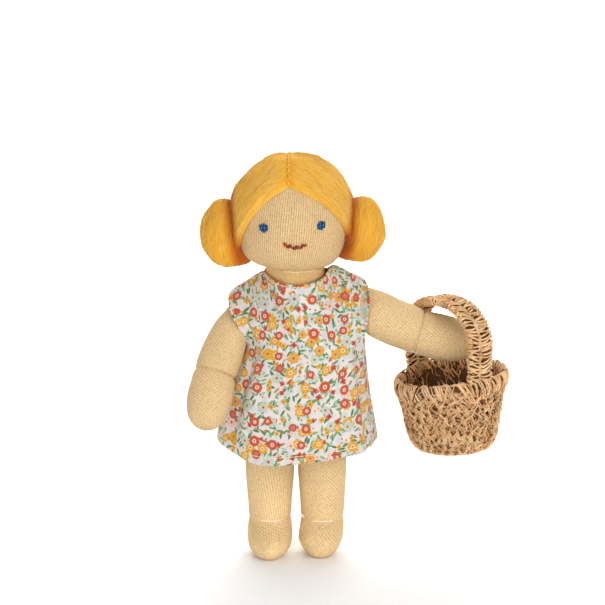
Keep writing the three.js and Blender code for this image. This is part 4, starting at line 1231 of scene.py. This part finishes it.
def folds(xi, z, back, fine=True):
    """Soft vertical folds, deeper towards the hem, and small creases."""
    k = smooth(112, 52, z)
    deg = xi * 90
    f = 0.0
    if back:
        f += 1.5 * math.cos(math.radians(deg * 7 + 30)) * k
        f += 0.8 * nz(xi * 4.0, z * 0.02, 4.0) * k
    else:
        f += 1.0 * math.cos(math.radians(deg * 6.0 + 60)) * k * smooth(12, 60, abs(deg))
        f -= 2.0 * math.exp(-(((deg + 57) / 8.0) ** 2)) * smooth(54, 66, z) * smooth(112, 98, z)
        f += 1.3 * math.exp(-(((deg + 42) / 9.0) ** 2)) * smooth(52, 66, z) * smooth(114, 96, z)
        f -= 1.4 * math.exp(-(((deg - 60) / 6.5) ** 2)) * smooth(120, 96, z)
        f += 0.9 * math.exp(-(((deg - 47) / 7.0) ** 2)) * smooth(118, 92, z)
        f += 0.7 * nz(xi * 3.2 + 3, z * 0.03, 1.0)
        # drag lines from the armholes and slack across the front
        u = deg * 0.56
        for u0, z0, u1, z1, wide, deep in CREASES if fine else ():
            t = clamp(((u - u0) * (u1 - u0) + (z - z0) * (z1 - z0)) / ((u1 - u0) ** 2 + (z1 - z0) ** 2))
            away = (u - lerp(u0, u1, t)) * (z1 - z0) - (z - lerp(z0, z1, t)) * (u1 - u0)
            away /= math.hypot(u1 - u0, z1 - z0)
            past = math.hypot(u - lerp(u0, u1, t), z - lerp(z0, z1, t))
            f += deep * math.exp(-((past / wide) ** 2)) * (1 - 0.9 * math.sin(clamp(away / wide, -1, 1))) * math.sin(math.pi * (0.1 + 0.8 * t))
    if fine:
        f += 0.30 * nz(xi * 7.0 + 1.5 * nz(xi * 3, z * 0.05, 8.0), z * 0.045, 2.0) + 0.16 * nz(xi * 17.0, z * 0.11, 6.0)
    return f


# where a crease starts and ends on the front (millimetres from the middle, height), its width and depth
CREASES = [
    (-30, 112, -16, 92, 2.2, 0.55), (-27, 100, -20, 74, 2.0, 0.45), (31, 112, 20, 96, 2.0, 0.5), (33, 98, 27, 70, 1.9, 0.55),
    (24, 104, 31, 84, 1.7, 0.4), (-8, 128, 6, 121, 2.6, 0.3), (8, 90, 22, 80, 2.6, 0.3), (-14, 80, 2, 70, 2.8, 0.28),
]


def panel(xi, h, back, fine=True):
    """Point of a dress panel: xi across (-1 to 1), h from hem (0) to top edge (1)."""
    phi = xi * math.pi / 2
    hem = (HEM_BACK if back else HEM)(xi * 90)
    top = (TOP_B if back else TOP)(xi)
    yoke = min(Z_YOKE, top.z - 5.0)
    share = 0.62
    if h <= share:
        z = lerp(hem, yoke, h / share)
        p = section(phi, z, back)
    else:
        t = (h - share) / (1 - share)
        p0 = section(phi, yoke, back)
        run = (RUN_B if back else RUN)(xi)
        rise = top.z - yoke
        m0 = (section(phi, yoke + 1, back) - section(phi, yoke - 1, back)) * (0.5 * rise)
        t2, t3 = t * t, t * t * t
        p = p0 * (2 * t3 - 3 * t2 + 1) + m0 * (t3 - 2 * t2 + t) + top * (-2 * t3 + 3 * t2) + run * (t3 - t2)
    n = Vector((math.sin(phi), (1 if back else -1) * math.cos(phi), 0.1))
    k = 1 - smooth(0.86, 1.0, h)
    edge = smooth(0.0, 0.10, 1 - abs(xi)) if True else 1
    f = folds(xi, p.z, back, fine) * k * edge
    return p + n.normalized() * f


def flat_place(back):
    """Where each place of a panel lies on its flat cloth, in millimetres."""
    yoke_h = 0.62
    n, k = 240, 60
    xs = [2 * i / n - 1 for i in range(n + 1)]
    rows = []
    for j in range(k + 1):
        line = [panel(x, yoke_h * j / k, back, False) for x in xs]
        run = [0.0]
        for a, b in zip(line, line[1:]):
            run.append(run[-1] + (b - a).length)
        rows.append(([r - run[n // 2] for r in run], line))
    down = [[0.0] * (n + 1) for _ in range(k + 1)]
    for j in range(k - 1, -1, -1):
        for i in range(n + 1):
            down[j][i] = down[j + 1][i] - (rows[j + 1][1][i] - rows[j][1][i]).length

    # above the yoke the back wraps far round the shoulders: level girth across, slant height up
    above, rise = [], [[0.0] * (n + 1)]
    for j in range(k + 1) if back else ():
        line = [panel(x, lerp(yoke_h, 1, j / k), back, False) for x in xs]
        run = [0.0]
        for a, b in zip(line, line[1:]):
            run.append(run[-1] + math.hypot(b.x - a.x, b.y - a.y))
        above.append(([r - run[n // 2] for r in run], line))
        if j:
            step = []
            for i in range(n + 1):
                t = line[min(i + 1, n)] - line[max(i - 1, 0)]
                t = Vector((t.x, t.y, 0)).normalized()
                d = line[i] - above[j - 1][1][i]
                step.append(rise[-1][i] + (d - t * d.dot(t)).length)
            rise.append(step)

    def mixed(grid, fi, fj):
        i, j = min(int(fi), n - 1), min(int(fj), k - 1)
        u, v = fi - i, fj - j
        return lerp(lerp(grid(j, i), grid(j, i + 1), u), lerp(grid(j + 1, i), grid(j + 1, i + 1), u), v)

    def at(xi, h):
        fi = (xi + 1) / 2 * n
        fj = min(h, yoke_h) / yoke_h * k
        u = mixed(lambda j, i: rows[j][0][i], fi, fj)
        v = mixed(lambda j, i: down[j][i], fi, fj)
        if h > yoke_h and back:
            fj = (h - yoke_h) / (1 - yoke_h) * k
            u += mixed(lambda j, i: above[j][0][i] - above[0][0][i], fi, fj)
            v += mixed(lambda j, i: rise[j][i], fi, fj)
        elif h > yoke_h:
            e = rows[k][1][min(int(fi) + 1, n)] - rows[k][1][max(int(fi) - 1, 0)]
            e = Vector((e.x, e.y, 0)).normalized()
            d = panel(xi, h, back, False) - panel(xi, yoke_h, back, False)
            u += d.dot(e)
            v += (d - e * d.dot(e)).length
        return u + (200 if back else 0), v + 60

    return at


FLAT = {back: flat_place(back) for back in (False, True)}


def cloth_grid(back, x0, x1, nx, ny, lift=None):
    pts, uvs = [], []
    for j in range(ny + 1):
        h = j / ny
        row, uv = [], []
        for i in range(nx + 1):
            xi = lerp(x0, x1, i / nx)
            p = panel(xi, h, back)
            if lift:
                n = Vector((math.sin(xi * math.pi / 2), (1 if back else -1) * math.cos(xi * math.pi / 2), 0.1))
                p = p + n * lift(xi)
            row.append(p)
            uv.append(FLAT[back](xi, h))
        pts.append(row)
        uvs.append(uv)
    return pts, uvs


def make_dress():
    m = Mesh()
    ny = 96
    pts, uvs = cloth_grid(False, -1, 1, 176, ny)
    m.grid(pts, False, uvs)
    # behind, the doll's right edge laps over its left one
    lap = 0.055
    pts, uvs = cloth_grid(True, -1, lap, 92, ny, lambda xi: 1.0 * smooth(-0.28, -0.05, xi))
    m.grid(pts, False, uvs, flip=True)
    pts, uvs = cloth_grid(True, -lap, 1, 92, ny)
    m.grid(pts, False, uvs, flip=True)
    ob = m.build("dress_cloth", COTTON, weld=0.02)
    so = ob.modifiers.new("thickness", "SOLIDIFY")
    so.thickness = 0.0007
    so.offset = -1.0
    so.use_rim = True
    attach(ob, "torso")
    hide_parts("dress_front", "dress_back_right", "dress_back_left")

    # topstitching: hem, neckline and armholes
    m = Mesh()

    def row_of(curve, length, gap, r=0.2, lift=0.22):
        """A row of stitches along curve(t), which gives a point and the cloth's normal."""
        t, dt = 0.0, 1e-3
        ts = [0.0]
        p = curve(0.0)[0]
        acc, marks = 0.0, []
        n = 1200
        run = [0.0]
        prev = p
        for i in range(1, n + 1):
            q = curve(i / n)[0]
            run.append(run[-1] + (q - prev).length)
            prev = q
        total = run[-1]

        def at(s):
            lo, hi = 0, n
            while hi - lo > 1:
                mid = (lo + hi) // 2
                if run[mid] < s:
                    lo = mid
                else:
                    hi = mid
            f = (s - run[lo]) / max(run[hi] - run[lo], 1e-9)
            return curve((lo + f) / n)

        s = gap
        while s + length < total:
            a, na = at(s)
            b, nb = at(s + length)
            stitch(m, a, b, r, lift, (na + nb), 0.85, 0.2)
            s += length + gap

    def surf(xi, h, back):
        e = 1e-3
        p = panel(xi, h, back)
        a = panel(min(xi + e, 1), h, back) - panel(max(xi - e, -1), h, back)
        b = panel(xi, min(h + e, 1), back) - panel(xi, max(h - e, 0), back)
        n = a.cross(b)
        if back:
            n.negate()
        return p, n.normalized()

    row_of(lambda t: surf(lerp(-1, 1, t), 0.046, False), 2.0, 0.5)
    row_of(lambda t: surf(lerp(-1, 1, t), 0.046, True), 2.0, 0.5)
    row_of(lambda t: surf(lerp(-0.27, 0.27, t), 0.965, False), 1.6, 0.45)
    for back in (False, True):
        row_of(lambda t: surf(lerp(-0.985, -0.64, t), 0.955, back), 1.5, 0.5, 0.17)
        row_of(lambda t: surf(lerp(0.64, 0.985, t), 0.955, back), 1.5, 0.5, 0.17)
    row_of(lambda t: surf(lerp(-0.27, -0.05, t), 0.965, True), 1.6, 0.45)
    row_of(lambda t: surf(lerp(0.06, 0.27, t), 0.965, True), 1.6, 0.45)
    st = m.build("dress_topstitching", HEM_THREAD)
    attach(st, "torso")
    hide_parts("hem_stitching")
    # the cut: a front panel and two back panels, laid side by side
    cut_w, cut_l = 0.0, 0.0
    for back, x0, x1 in ((False, -1, 1), (True, -1, lap), (True, -lap, 1)):
        spots = [FLAT[back](lerp(x0, x1, i / 24), j / 24) for i in range(25) for j in range(25)]
        cut_w += max(q[0] for q in spots) - min(q[0] for q in spots)
        cut_l = max(cut_l, max(q[1] for q in spots) - min(q[1] for q in spots))

    # hook-and-loop tape inside the back edge
    m = Mesh()
    for k, (off, x0) in enumerate(((-1.6, -0.045), (-2.6, -0.045))):
        pts, uvs = [], []
        for j in range(31):
            h = lerp(0.66, 0.90, j / 30)
            row, uv = [], []
            for i in range(9):
                xi = lerp(x0, x0 + 0.10, i / 8)
                p, n = surf(xi, h, True)
                row.append(p + n * (off + 0.12 * nz(i * 3.1, j * 2.7, k)))
                uv.append((i * 0.6, j * 1.0))
            pts.append(row)
            uvs.append(uv)
        m.grid(pts, False, uvs, flip=True)
    tape = m.build("closure_tapes", TAPE)
    so = tape.modifiers.new("thickness", "SOLIDIFY")
    so.thickness = 0.0006
    so.offset = 0
    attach(tape, "torso")
    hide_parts("closure_hook_tape", "closure_loop_tape")


def tape_material():
    n = Nodes("closure_tape", 0.9, specular=0.2)
    uv = n.uv()
    h = n.noise(uv, 9.0, 3.0, 0.7)
    return n.done(n.ramp(h, [(0.3, rgb(214, 208, 202)), (0.7, rgb(246, 243, 240))]), n.bump(h, 0.0004, 0.8))


TAPE = tape_material()
make_dress()


# ------------------------------------------------------------------ the basket
B_AT = Vector((76.0, -3.06, 54.5))
_rx, _ry = math.radians(2.0), math.radians(-2.5)
B_AZ = math.radians(-60)


def basket(p):
    """From the basket's own upright frame to the doll's; its mouth is pulled up by the handle."""
    turn = math.atan2(p[1], p[0])
    lift = 2.6 + 2.2 * math.cos(turn) + 1.3 * math.sin(turn) ** 2
    p = (p[0], p[1], p[2] + lift * smooth(4, 30, p[2]) * (1 - smooth(40, 72, p[2])))
    # turned about Y, then about X
    x = p[0] * math.cos(_ry) + p[2] * math.sin(_ry)
    z = -p[0] * math.sin(_ry) + p[2] * math.cos(_ry)
    y = p[1]
    return B_AT + Vector((x, y * math.cos(_rx) - z * math.sin(_rx), y * math.sin(_rx) + z * math.cos(_rx)))


wall_out = table([(0, 18.4), (1.6, 20.3), (4.5, 21.9), (9, 23.1), (18, 25.1), (26, 27.0), (30.6, 27.8)])


def ring_pt(r, a, z):
    return basket((1.4 + 0.98 * r * math.cos(a), 0.98 * r * math.sin(a), z))


def yarns(m, path, count, spread, r, rnd, turns=0.0, sides=5, closed=False):
    """A bundle of thin yarns along a path of points, each a little off the middle."""
    n = len(path)
    for c in range(count):
        ph = 2 * math.pi * c / count + rnd.uniform(-0.4, 0.4)
        rr = r * rnd.uniform(0.85, 1.15)
        seed = rnd.uniform(0, 50)
        pts = []
        for i, p in enumerate(path):
            a, b = path[max(i - 1, 0)], path[min(i + 1, n - 1)]
            t = (b - a).normalized()
            x = (p - B_AXIS).cross(t)
            x = x.normalized() if x.length > 1e-6 else t.orthogonal().normalized()
            y = t.cross(x)
            g = ph + turns * 2 * math.pi * i / max(n - 1, 1)
            j = Vector((nz(seed + i * 0.45, 1), nz(seed + i * 0.45, 2), nz(seed + i * 0.45, 3))) * (0.35 * spread)
            pts.append(p + (x * math.cos(g) + y * math.sin(g)) * spread + j)
        m.tube(pts, rr, sides, closed=closed, caps=not closed, v0=seed * 3)


B_AXIS = basket((0, 0, 20))


def make_basket():
    rnd = random.Random(5)
    # wall: rounds of uneven crochet stitches, each a handful of thin strands: legs, cross strands and curls
    m, pale, shade = Mesh(), Mesh(), Mesh()
    rounds, count = 10, 35
    rise = 30.4 / rounds
    step = 2 * math.pi / count

    def strand(mesh, course, a0, z0, tilt, puff, deep, r):
        """A thin strand on the wall: course is millimetres along the round and up; it rises off the wall in its middle."""
        path = []
        for i, (x, z) in enumerate(course):
            q = i / (len(course) - 1)
            x, z = x * math.cos(tilt) - z * math.sin(tilt), x * math.sin(tilt) + z * math.cos(tilt)
            z = clamp(z0 + z, 0.3, 31.6)
            path.append(ring_pt(wall_out(z) - deep + puff * math.sin(math.pi * (0.06 + 0.88 * q)), a0 + x / 24, z))
        mesh.tube(path, r, 5, v0=rnd.uniform(0, 90))

    for j in range(rounds):
        for k in range(count):
            a0 = step * (k + 0.31 * j + rnd.uniform(-0.2, 0.2))
            z0 = rise * (j + 0.5) + rnd.uniform(-0.45, 0.45)
            size, lean = rnd.uniform(0.85, 1.2), rnd.uniform(-0.3, 0.3)
            for leg in (-1, 1):
                wide, sway = 24 * step * rnd.uniform(0.44, 0.62), rnd.uniform(-0.5, 0.5)
                for c in range(3):
                    off = (c - 1) * rnd.uniform(0.45, 0.85)
                    bow = sway + rnd.uniform(-0.35, 0.35)
                    course = []
                    for i in range(8):
                        q = i / 7
                        course.append((leg * wide * size * math.cos(q * math.pi / 2) ** 1.3 + off * 0.8, size * rise * (0.58 - 1.1 * q) + bow * math.sin(math.pi * q) - leg * off * 0.45))
                    # the strands of a leg often run shaded, plain and pale across it: painted shade on one edge,
                    # painted highlight on the other
                    pick = rnd.random()
                    mesh = (shade, m, pale)[c] if pick < 0.5 else (m, pale, m)[c] if pick < 0.85 else (pale, shade, m)[c]
                    strand(mesh, course, a0, z0, lean + rnd.uniform(-0.12, 0.12), rnd.uniform(0.7, 1.5), 1.55 + rnd.uniform(-0.2, 0.35), rnd.uniform(0.17, 0.33))
            # a curl of one thin strand, open to one side, mostly in the pale yarn as painted highlight
            if rnd.random() < 0.75:
                r0, g0, arc = rnd.uniform(0.8, 1.5), rnd.uniform(0, 6.28), rnd.uniform(3.2, 5.0)
                cx, cz = rnd.uniform(-1.2, 1.2), rnd.uniform(-0.6, 0.6)
                course = [(cx + 1.25 * r0 * math.cos(g0 + arc * i / 9), cz + 0.85 * r0 * math.sin(g0 + arc * i / 9)) for i in range(10)]
                strand(pale if rnd.random() < 0.72 else m, course, a0 + step / 2, z0, 0.0, rnd.uniform(0.3, 0.8), rnd.uniform(0.55, 0.95), rnd.uniform(0.15, 0.24))
            # short strands across the gap to the next stitch
            for c in range(2):
                half, bow = rnd.uniform(1.0, 2.2), rnd.uniform(-0.9, 0.9)
                course = [(half * (2 * i / 6 - 1), bow * math.sin(math.pi * i / 6)) for i in range(7)]
                strand((pale, m, shade)[rnd.randrange(3)], course, a0 + step * rnd.uniform(0.2, 0.8), z0 + rnd.uniform(-1.4, 1.4), rnd.uniform(-0.9, 0.9), rnd.uniform(0.2, 0.7), rnd.uniform(0.8, 1.5), rnd.uniform(0.15, 0.28))
    # rounds of the shaded yarn behind the stitches: painted shade in the holes between them
    for j in range(rounds * 2):
        z = rise * (j + 0.5) / 2
        n = 120
        path = [ring_pt(wall_out(z) - 1.75 + 0.2 * nz(i * 0.5, j), 2 * math.pi * i / n, z + 0.5 * nz(i * 0.33, j * 3.1)) for i in range(n)]
        yarns(shade, path, 1, 0.12, 0.45, rnd, closed=True)
    for name, mesh, material in (("basket_weave_pale", pale, JUTE_PALE_AND_HIGHLIGHT), ("basket_weave_shaded", shade, JUTE_SHADE)):
        ob = mesh.build(name, material)
        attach(ob, "basket")
    ob = m.build("basket_weave", JUTE)
    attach(ob, "basket")
    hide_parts("basket_wall")

    # inner side of the weave: a dark ground that is painted shadow, and slanting stitches that show in the mouth, in a
    # darker yarn as painted shade, some near the top in the plain yarn as painted light
    m = Mesh()
    for off, turn in ((2.0, False), (2.9, True)):
        grid, uvs = [], []
        for j in range(13):
            z = lerp(0.4, 31.6, j / 12)
            grid.append([ring_pt(wall_out(z) - off + 0.12 * nz(i * 0.7, j), 2 * math.pi * i / 96, z) for i in range(96)])
            uvs.append([(i * 0.4, z) for i in range(97)])
        m.grid(grid, True, uvs, flip=turn)
    ob = m.build("basket_inner_ground", JUTE_PAINTED_SHADOW)
    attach(ob, "basket")
    m, lit = Mesh(), Mesh()
    for k in range(620):
        a0, z0 = rnd.uniform(0, 2 * math.pi), 3.0 + 28.5 * rnd.random() ** 0.7
        lean, up = rnd.uniform(-0.10, 0.16), rnd.uniform(1.5, 5.5)
        bulge, bow = rnd.uniform(0.1, 0.7), rnd.uniform(-0.06, 0.06)
        path = []
        for i in range(7):
            q = i / 6
            z = clamp(z0 + up * (q - 0.5), 0.6, 32.4)
            path.append(ring_pt(wall_out(min(z, 30.6)) - 2.95 - bulge * math.sin(math.pi * q), a0 + lean * (q - 0.5) + bow * math.sin(math.pi * q), z))
        (lit if z0 > 21 and rnd.random() < 0.5 else m).tube(path, rnd.uniform(0.16, 0.42), 5, v0=rnd.uniform(0, 60))
    for name, mesh, material in (("basket_inner_stitches", m, JUTE_INNER_PAINTED_SHADE), ("basket_inner_stitches_lit", lit, JUTE)):
        ob = mesh.build(name, material)
        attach(ob, "basket")

    # base: a flat coil
    m = Mesh()
    path = []
    n = 330
    for i in range(n):
        t = i / (n - 1)
        a = 2 * math.pi * 6.3 * t
        path.append(ring_pt(0.8 + 18.1 * t, a, 1.35 + 0.12 * math.sin(a * 7)))
    m.tube(path, lambda t: 1.5 + 0.1 * nz(t * 90), 7)
    base = len(m.v)
    m.v.extend(ring_pt(18.6, 2 * math.pi * i / 64, 1.3) for i in range(64))
    m.fan(list(range(base, base + 64)), ring_pt(0, 0, 1.3))
    ob = m.build("basket_coiled_base", JUTE)
    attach(ob, "basket")
    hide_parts("basket_base")

    # rim: groups of strands that come over the edge and slant down the outer side, over a dark core that is painted
    # shadow; most strands and the loops on top are in the pale yarn, partly paler fibres and partly painted highlight
    m, pale, dark = Mesh(), Mesh(), Mesh()
    over = [(24.7, 30.4), (24.9, 32.2), (25.6, 33.7), (26.6, 34.2), (27.6, 33.6), (28.2, 32.0), (28.3, 30.2), (28.0, 28.6), (27.3, 27.2)]
    groups = 60
    for k in range(groups):
        a0 = 2 * math.pi * (k + rnd.uniform(-0.35, 0.35)) / groups
        lean = rnd.uniform(0.13, 0.30) * (1 if rnd.random() < 0.85 else -0.7)
        for c in range(5):
            j0, j1, j2 = rnd.uniform(-0.035, 0.035) + 0.018 * (c - 2), rnd.uniform(-0.05, 0.05), rnd.uniform(-0.25, 0.45)
            low, bow = rnd.uniform(-1.0, 1.8), rnd.uniform(-0.02, 0.05)
            path = []
            for i, (r, z) in enumerate(over):
                t = i / (len(over) - 1)
                path.append(ring_pt(r + j2 * math.sin(math.pi * t) + 0.25 * (c % 2), a0 + j0 + (lean + j1) * (t - 0.4) + bow * math.sin(math.pi * t), z + low * smooth(0.4, 1.0, t) + 0.5 * j2))
            pick = rnd.random()
            (pale if pick < 0.62 else m if pick < 0.88 else dark).tube(path, rnd.uniform(0.16, 0.31), 5, v0=rnd.uniform(0, 90))
    for k in range(46):
        a0, w = rnd.uniform(0, 2 * math.pi), rnd.uniform(0.03, 0.075)
        high, r0 = rnd.uniform(0.5, 1.5), rnd.uniform(25.8, 27.4)
        path = [ring_pt(r0, a0 + w * math.cos(g), 33.4 + high * math.sin(g)) for g in (math.pi * i / 8 for i in range(9))]
        pale.tube(path, rnd.uniform(0.17, 0.28), 5, v0=rnd.uniform(0, 90))
    dark.tube([ring_pt(26.5, 2 * math.pi * i / 90, 31.7) for i in range(90)], 1.5, 7, closed=True)
    for name, mesh, material in (("basket_crochet_rim", m, JUTE), ("basket_crochet_rim_pale", pale, JUTE_PALE_AND_HIGHLIGHT), ("basket_rim_core", dark, JUTE_PAINTED_SHADOW)):
        ob = mesh.build(name, material)
        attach(ob, "basket")
        if mesh is m:
            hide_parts("basket_rim")

    # handle: two columns of crochet loops side by side along the arch, each loop with thin pale strands as painted
    # highlight, over flat dark cores that are painted shadow
    arch = [(26.2, 32.6), (27.1, 42), (27.8, 50), (27.0, 59.2), (22.8, 67.0), (13.0, 72.2), (0, 73.4), (-11.8, 71.7), (-21.0, 66.4), (-25.6, 58.6), (-27.1, 50), (-26.9, 42), (-26.2, 32.6)]
    cx, cz = math.cos(B_AZ), math.sin(B_AZ)
    way = spline(list(range(13)), [Vector((p[0], 0, p[1])) for p in arch])
    fine = [way(12 * i / 600) for i in range(601)]
    run = [0.0]
    for a, b in zip(fine, fine[1:]):
        run.append(run[-1] + (b - a).length)
    total = run[-1]

    def along(s):
        s = clamp(s, 0, total)
        lo = min(int(s / total * 600), 599)
        while run[lo] > s:
            lo -= 1
        while run[lo + 1] < s:
            lo += 1
        p = lerp(fine[lo], fine[lo + 1], (s - run[lo]) / (run[lo + 1] - run[lo]))
        t = (fine[lo + 1] - fine[lo]).normalized()
        out = Vector((-t.z, 0, t.x))  # away from the loop's middle
        if out.dot(Vector((p.x, 0, p.z - 45))) < 0:
            out.negate()
        return p, out

    def strap(s, w, o):
        """Place along the strap, across it and off its middle."""
        p, out = along(s)
        q = p + out * o
        return basket((q.x * cx - w * cz, q.x * cz + w * cx, q.z))

    m, pale, dark = Mesh(), Mesh(), Mesh()
    pitch = 1.95
    for face in (1, -1):
        for col in (-1, 1):
            s0 = 0.6 if col < 0 else 1.4
            k = 0
            while s0 < total - 1.0:
                w0 = col * 3.3 + rnd.uniform(-0.3, 0.3)
                lean = 0.9 * col + rnd.uniform(-1.1, 1.1)
                high = rnd.uniform(0.9, 1.6)
                path = []
                for i in range(11):
                    q = 2 * i / 10 - 1
                    path.append(strap(s0 + lean * q + 0.5 * q * q, w0 + 3.15 * q, face * (0.25 + high * math.sqrt(max(1 - q * q, 0)))))
                yarns(pale if rnd.random() < 0.3 else m, path, 1, 0.10, rnd.uniform(0.28, 0.42), rnd)
                for c in range(2):
                    du, dn = rnd.uniform(-0.75, 0.75), rnd.uniform(-0.6, 0.6)
                    thin = []
                    for i in range(9):
                        q = 2 * i / 8 - 1
                        thin.append(strap(s0 + du + (lean + dn) * q + 0.5 * q * q, w0 + 3.0 * q, face * (0.40 + (high + 0.05) * math.sqrt(max(1 - q * q, 0)))))
                    yarns(pale, thin, 1, 0.12, rnd.uniform(0.15, 0.23), rnd)
                s0 += pitch * rnd.uniform(0.8, 1.2)
                k += 1
    for edge in (-1, 1):
        s0 = 0.9
        while s0 < total - 1.0:
            lean, far = rnd.uniform(-0.6, 0.6), rnd.uniform(0.35, 0.7)
            path = [strap(s0 + lean * math.sin(g), edge * (5.75 + far * math.cos(g)), 1.7 * math.sin(g)) for g in (lerp(-1.9, 1.9, i / 8) for i in range(9))]
            yarns(pale if rnd.random() < 0.6 else m, path, 1, 0.10, rnd.uniform(0.40, 0.50), rnd)
            s0 += 1.9 * rnd.uniform(0.85, 1.2)
    for w in (0.0,):
        path = [strap(total * i / 110, w + 0.3 * math.sin(i * 1.1), 0.3 * math.sin(i * 1.7 + w)) for i in range(111)]
        yarns(m, path, 2, 0.4, 0.5, rnd, turns=26)
    for w in (-3.3, 3.3):
        dark.tube([strap(total * i / 90, w, 0) for i in range(91)], 2.6, 8, flat=0.38, up=strap(1, w + 1, 0) - strap(1, w, 0))
    for name, mesh, material in (("basket_crochet_handle", m, JUTE), ("basket_crochet_handle_pale", pale, JUTE_PALE_AND_HIGHLIGHT), ("basket_handle_core", dark, JUTE_PAINTED_SHADOW)):
        ob = mesh.build(name, material)
        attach(ob, "basket")
        if mesh is m:
            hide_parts("basket_handle")

    # loose ends of fibre all over, in the pale yarn: partly paler fibres, partly painted highlight
    m = Mesh()
    for k in range(420):
        a, z = rnd.uniform(0, 2 * math.pi), rnd.uniform(0.6, 34.0)
        r = (wall_out(z) if z < 30.5 else 27.9) - 0.2 + rnd.uniform(-0.2, 0.45)
        da, dz = rnd.uniform(0.03, 0.13) * rnd.choice((-1, 1)), rnd.uniform(-2.0, 2.0)
        arc = rnd.uniform(-0.1, 0.9)
        pts = [ring_pt(r + arc * math.sin(math.pi * i / 5), a + da * i / 5, z + dz * i / 5) for i in range(6)]
        m.tube(pts, rnd.uniform(0.10, 0.17), 4, caps=False, v0=rnd.uniform(0, 60))
    for k in range(60):
        s0, w0 = rnd.uniform(2, total - 4), rnd.uniform(-5.8, 5.8)
        ds, dw = rnd.uniform(-2, 2), rnd.uniform(1.0, 3.2) * rnd.choice((-1, 1))
        arc, o = rnd.uniform(0.0, 0.9), rnd.uniform(1.5, 2.0)
        pts = [strap(s0 + ds * i / 5, clamp(w0 + dw * i / 5, -6.5, 6.5), o + arc * math.sin(math.pi * i / 5)) for i in range(6)]
        m.tube(pts, rnd.uniform(0.10, 0.17), 4, caps=False, v0=rnd.uniform(0, 60))
    ob = m.build("basket_loose_fibres", JUTE_PALE_AND_HIGHLIGHT)
    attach(ob, "basket")


make_basket()


# ------------------------------------------------------------------ floor, light, camera
def make_stage():
    m = Mesh()
    pts, uvs = [], []
    prof = [(-6000, 0), (-1500, 0), (-700, 0), (0, 0), (700, 0), (1000, 12), (1250, 90), (1400, 280), (1450, 700), (1450, 1800)]
    for y, z in prof:
        pts.append([Vector((x, y, z)) for x in (-6000, -2200, -1100, -550, 0, 550, 1100, 2200, 6000)])
        uvs.append([(i, y) for i in range(9)])
    m.grid(pts, False, uvs)
    n = Nodes("studio_paper", 0.9, specular=0.1)
    t = n.noise(n.obj(), 30.0, 2.0)
    ob = m.build("studio_floor", n.done(n.ramp(t, [(0.3, (0.955, 0.955, 0.955, 1)), (0.7, (0.975, 0.975, 0.975, 1))])))

    sc = bpy.context.scene
    w = bpy.data.worlds.new("studio")
    w.use_nodes = True
    bg = w.node_tree.nodes["Background"]
    bg.inputs[0].default_value = (1, 1, 1, 1)
    bg.inputs[1].default_value = 0.42
    sc.world = w

    def area(name, loc, target, size, power, spread=180):
        li = bpy.data.lights.new(name, "AREA")
        li.spread = math.radians(spread)
        li.shape = "DISK"
        li.size = size
        li.energy = power
        ob = bpy.data.objects.new(name, li)
        ob.location = place(loc)
        ob.rotation_euler = (place(target) - ob.location).to_track_quat("-Z", "Y").to_euler()
        bpy.context.collection.objects.link(ob)

    area("key", (560, -700, 620), (10, 0, 110), 0.6, 3.2)
    area("front", (190, -985, 140), (10, 0, 70), 1.0, 3.2)
    area("fill", (-700, -450, 330), (10, 0, 100), 0.8, 0.8)
    area("top", (0, 120, 950), (0, 0, 100), 0.9, 2.1)
    area("floor", (20, 620, 520), (10, 260, 0), 0.7, 1.9, 110)
    area("legs", (0, -420, 14), (-8, 0, 4), 0.05, 0.0036, 12)
    area("low", (60, -520, 40), (10, 0, 60), 0.3, 0.75)
    area("backdrop_left", (-500, 500, 620), (-200, 1450, 500), 0.9, 9.0)
    area("backdrop_right", (600, 500, 620), (300, 1450, 500), 0.9, 9.0)

    cam = bpy.data.cameras.new("camera")
    ob = bpy.data.objects.new("camera", cam)
    bpy.context.collection.objects.link(ob)
    ob.location = place(EYE)
    ob.rotation_euler = (place(AIM) - ob.location).to_track_quat("-Z", "Y").to_euler()
    cam.sensor_fit = "HORIZONTAL"
    cam.sensor_width = 36
    cam.lens = 36 * DISTANCE / PICTURE
    cam.clip_start, cam.clip_end = 0.01, 20
    sc.camera = ob
    sc.view_settings.view_transform = "Standard"


make_stage()
